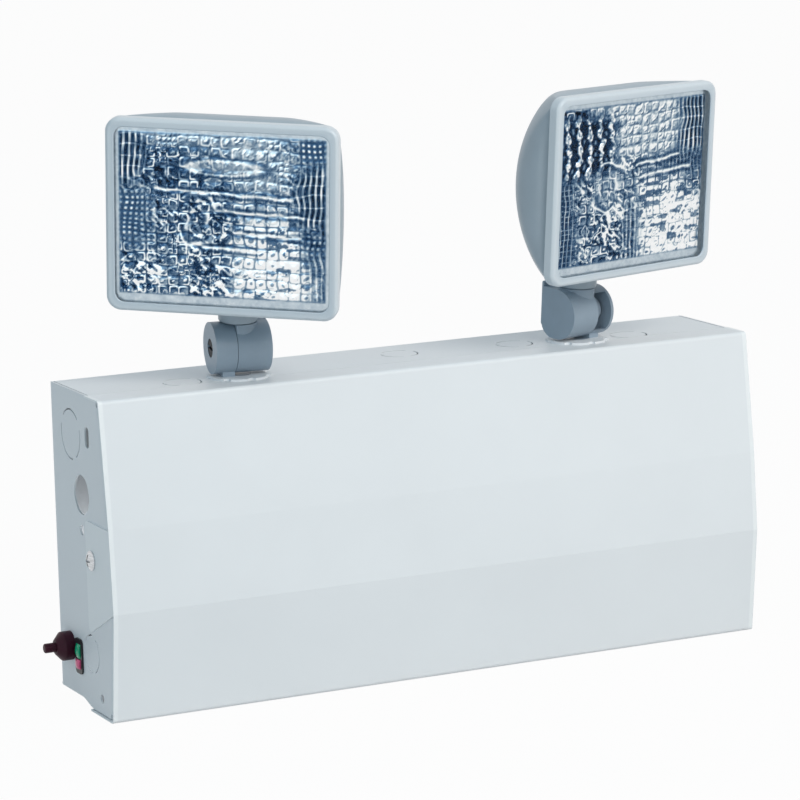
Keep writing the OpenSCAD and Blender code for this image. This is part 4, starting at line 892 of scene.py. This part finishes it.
def turnOutwards(piece):
    # faces point away from the piece's middle where its signed volume says they don't
    mesh = piece.data
    mesh.calc_loop_triangles()
    corners = np.empty(len(mesh.loop_triangles) * 3, dtype=np.int32)
    mesh.loop_triangles.foreach_get("vertices", corners)
    points = meshPoints(mesh)
    points = points - points.mean(axis=0)
    a, b, c = points[corners.reshape(-1, 3)].transpose(1, 0, 2)
    if np.einsum("ij,ij->i", a, np.cross(b, c)).sum() < 0:
        mesh.flip_normals()


for side in ("left", "right"):
    for piece in (headShell(side), headNeck(side)):
        turnOutwards(piece)
print("shells made")

# Softened copies of moulded pieces; angles are in degrees, and a bezel's lip entry is how far the painted
# highlight on its outer lip reaches in
softLook = {"weld": 0.000004, "flat": 0.6, "segments": 3, "angle": 28, "weight": 70}
softEdges = {
    "bezel": {"slot": "bezel_grey", "width": 0.0006, "body": "head", "lip": 0.0055},
    "foot": {"slot": "knuckle_grey", "width": 0.0005, "body": "foot"},
    "arm": {"slot": "knuckle_grey", "width": 0.0006, "body": "arm"},
}


def softCopy(node, body, slotName, width):
    # the CAD solid with its seams merged, its flat faces made whole and its edges rounded by width
    mesh = frame["nodes"][node].data.copy()
    piece = bpy.data.objects.new("soft_" + node, mesh)
    bpy.context.scene.collection.objects.link(piece)
    merge = piece.modifiers.new("merge", "WELD")
    merge.merge_threshold = softLook["weld"]
    whole = piece.modifiers.new("whole", "DECIMATE")
    whole.decimate_type = "DISSOLVE"
    whole.angle_limit = math.radians(softLook["flat"])
    bevel = piece.modifiers.new("edges", "BEVEL")
    bevel.width = width
    bevel.segments = softLook["segments"]
    bevel.limit_method = "ANGLE"
    bevel.angle_limit = math.radians(softLook["angle"])
    bevel.use_clamp_overlap = True
    even = piece.modifiers.new("even", "WEIGHTED_NORMAL")
    even.weight = softLook["weight"]
    mesh.polygons.foreach_set("use_smooth", np.ones(len(mesh.polygons), dtype=bool))
    mesh.materials.clear()
    mesh.materials.append(skins[slotName])
    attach(piece, body)
    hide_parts(node)
    return piece


def markLipHighlight(side, piece, width):
    # own attribute on a bezel for the painted highlight on its lip: 1 at the outer outline, easing to 0 at
    # width inside it
    across, _, upward = np.abs(fromHead(side, meshPoints(piece.data))).T
    inside = np.minimum(across.max() - across, upward.max() - upward)
    lip = piece.data.attributes.new("lip", "FLOAT", "POINT")
    lip.data.foreach_set("value", ease(width, 0, inside))


for side in ("left", "right"):
    for name, s in softEdges.items():
        piece = softCopy(side + "_" + name, side + "_" + s["body"], s["slot"], s["width"])
        if "lip" in s:
            markLipHighlight(side, piece, s["lip"])
print("edges softened")

# Camera, fitted to the photo
cameraLook = {
    "place": (-0.9114, -1.9046, 0.4446), "forward": (0.43, 0.8846, -0.1805), "up": (0.1004, 0.1519, 0.9833),
    "lens": 166.5, "sensor": 36.0, "reach": 50,
}
cameraData = bpy.data.cameras.new("camera")
cameraData.lens = cameraLook["lens"]
cameraData.sensor_width = cameraLook["sensor"]
cameraData.clip_end = cameraLook["reach"]
camera = bpy.data.objects.new("camera", cameraData)
bpy.context.scene.collection.objects.link(camera)
forward = Vector(cameraLook["forward"]).normalized()
right = forward.cross(Vector(cameraLook["up"])).normalized()
turned = Matrix((right, right.cross(forward), -forward)).transposed()
camera.matrix_world = Matrix.Translation(cameraLook["place"]) @ turned.to_4x4()
bpy.context.scene.camera = camera

# Lights; the one inside shows the conduit entry
lamps = {
    "key": {"place": (0.5, -1.95, 1.4), "aim": (0, 0, 0.05), "size": 1.2, "power": 31.5,
            "colour": (1.0, 0.966, 0.918)},
    "fill": {"place": (-1.8, -1.4, 0.5), "aim": (0, 0, 0.05), "size": 1.4, "power": 5.4,
             "colour": (0.43, 0.80, 1.0)},
    "top": {"place": (-0.2, 0.3, 2.0), "aim": (0, 0, 0), "size": 1.5, "power": 1.8,
            "colour": (0.32, 0.70, 1.0)},
    "inside": {"place": (-0.165, -0.04, -0.02), "aim": (-0.4, -0.04, 0.0), "size": 0.05, "power": 0.022,
               "colour": (0.95, 0.98, 1.0)},
}
for name, s in lamps.items():
    data = bpy.data.lights.new(name, "AREA")
    data.energy = s["power"]
    data.color = s["colour"]
    data.size = s["size"]
    lamp = bpy.data.objects.new(name, data)
    bpy.context.scene.collection.objects.link(lamp)
    lamp.location = s["place"]
    lamp.rotation_euler = (Vector(s["aim"]) - Vector(s["place"])).to_track_quat("-Z", "Y").to_euler()

# World: a bluish light on the surfaces and a nearly white backdrop where it is seen
worldLook = {"tint": (0.80, 0.925, 1.0), "light": 0.44, "backdrop": 0.986}
world = bpy.data.worlds.new("studio")
world.use_nodes = True
bpy.context.scene.world = world
nodes, links = world.node_tree.nodes, world.node_tree.links
background = nodes["Background"]
seen = seenRays(nodes, links)
strength = nodes.new("ShaderNodeMapRange")
strength.inputs["To Min"].default_value = worldLook["light"]
strength.inputs["To Max"].default_value = worldLook["backdrop"]
links.new(seen, strength.inputs["Value"])
links.new(strength.outputs["Result"], background.inputs["Strength"])
links.new(mixColours(nodes, links, seen, worldLook["tint"], (1, 1, 1)), background.inputs["Color"])

# Floor: pale for the light that it throws back, and nearly the backdrop's white where it is seen
floorLook = {"size": 26.0, "low": -0.0893, "white": 0.62, "rough": 0.9, "shown": 0.96}
corners = floorLook["size"] / 2 * np.array([[-1, -1, 0], [1, -1, 0], [1, 1, 0], [-1, 1, 0]])
floor = addMesh("floor", corners + [0, 0, floorLook["low"]], [[0, 1, 2, 3]])
floorSkin, nodes, links, skin = nodeMaterial("floor")
skin.inputs["Base Color"].default_value = (*[floorLook["white"]] * 3, 1)
skin.inputs["Roughness"].default_value = floorLook["rough"]
glow = nodes.new("ShaderNodeEmission")
shown = nodes.new("ShaderNodeMath")
shown.operation = "MULTIPLY"
shown.inputs[1].default_value = floorLook["shown"]
mix = nodes.new("ShaderNodeMixShader")
links.new(seenRays(nodes, links), shown.inputs[0])
links.new(shown.outputs[0], mix.inputs[0])
links.new(skin.outputs[0], mix.inputs[1])
links.new(glow.outputs[0], mix.inputs[2])
links.new(mix.outputs[0], nodes["Material Output"].inputs["Surface"])
floor.data.materials.append(floorSkin)

bpy.context.scene.view_settings.view_transform = "Standard"
print("scene ready")
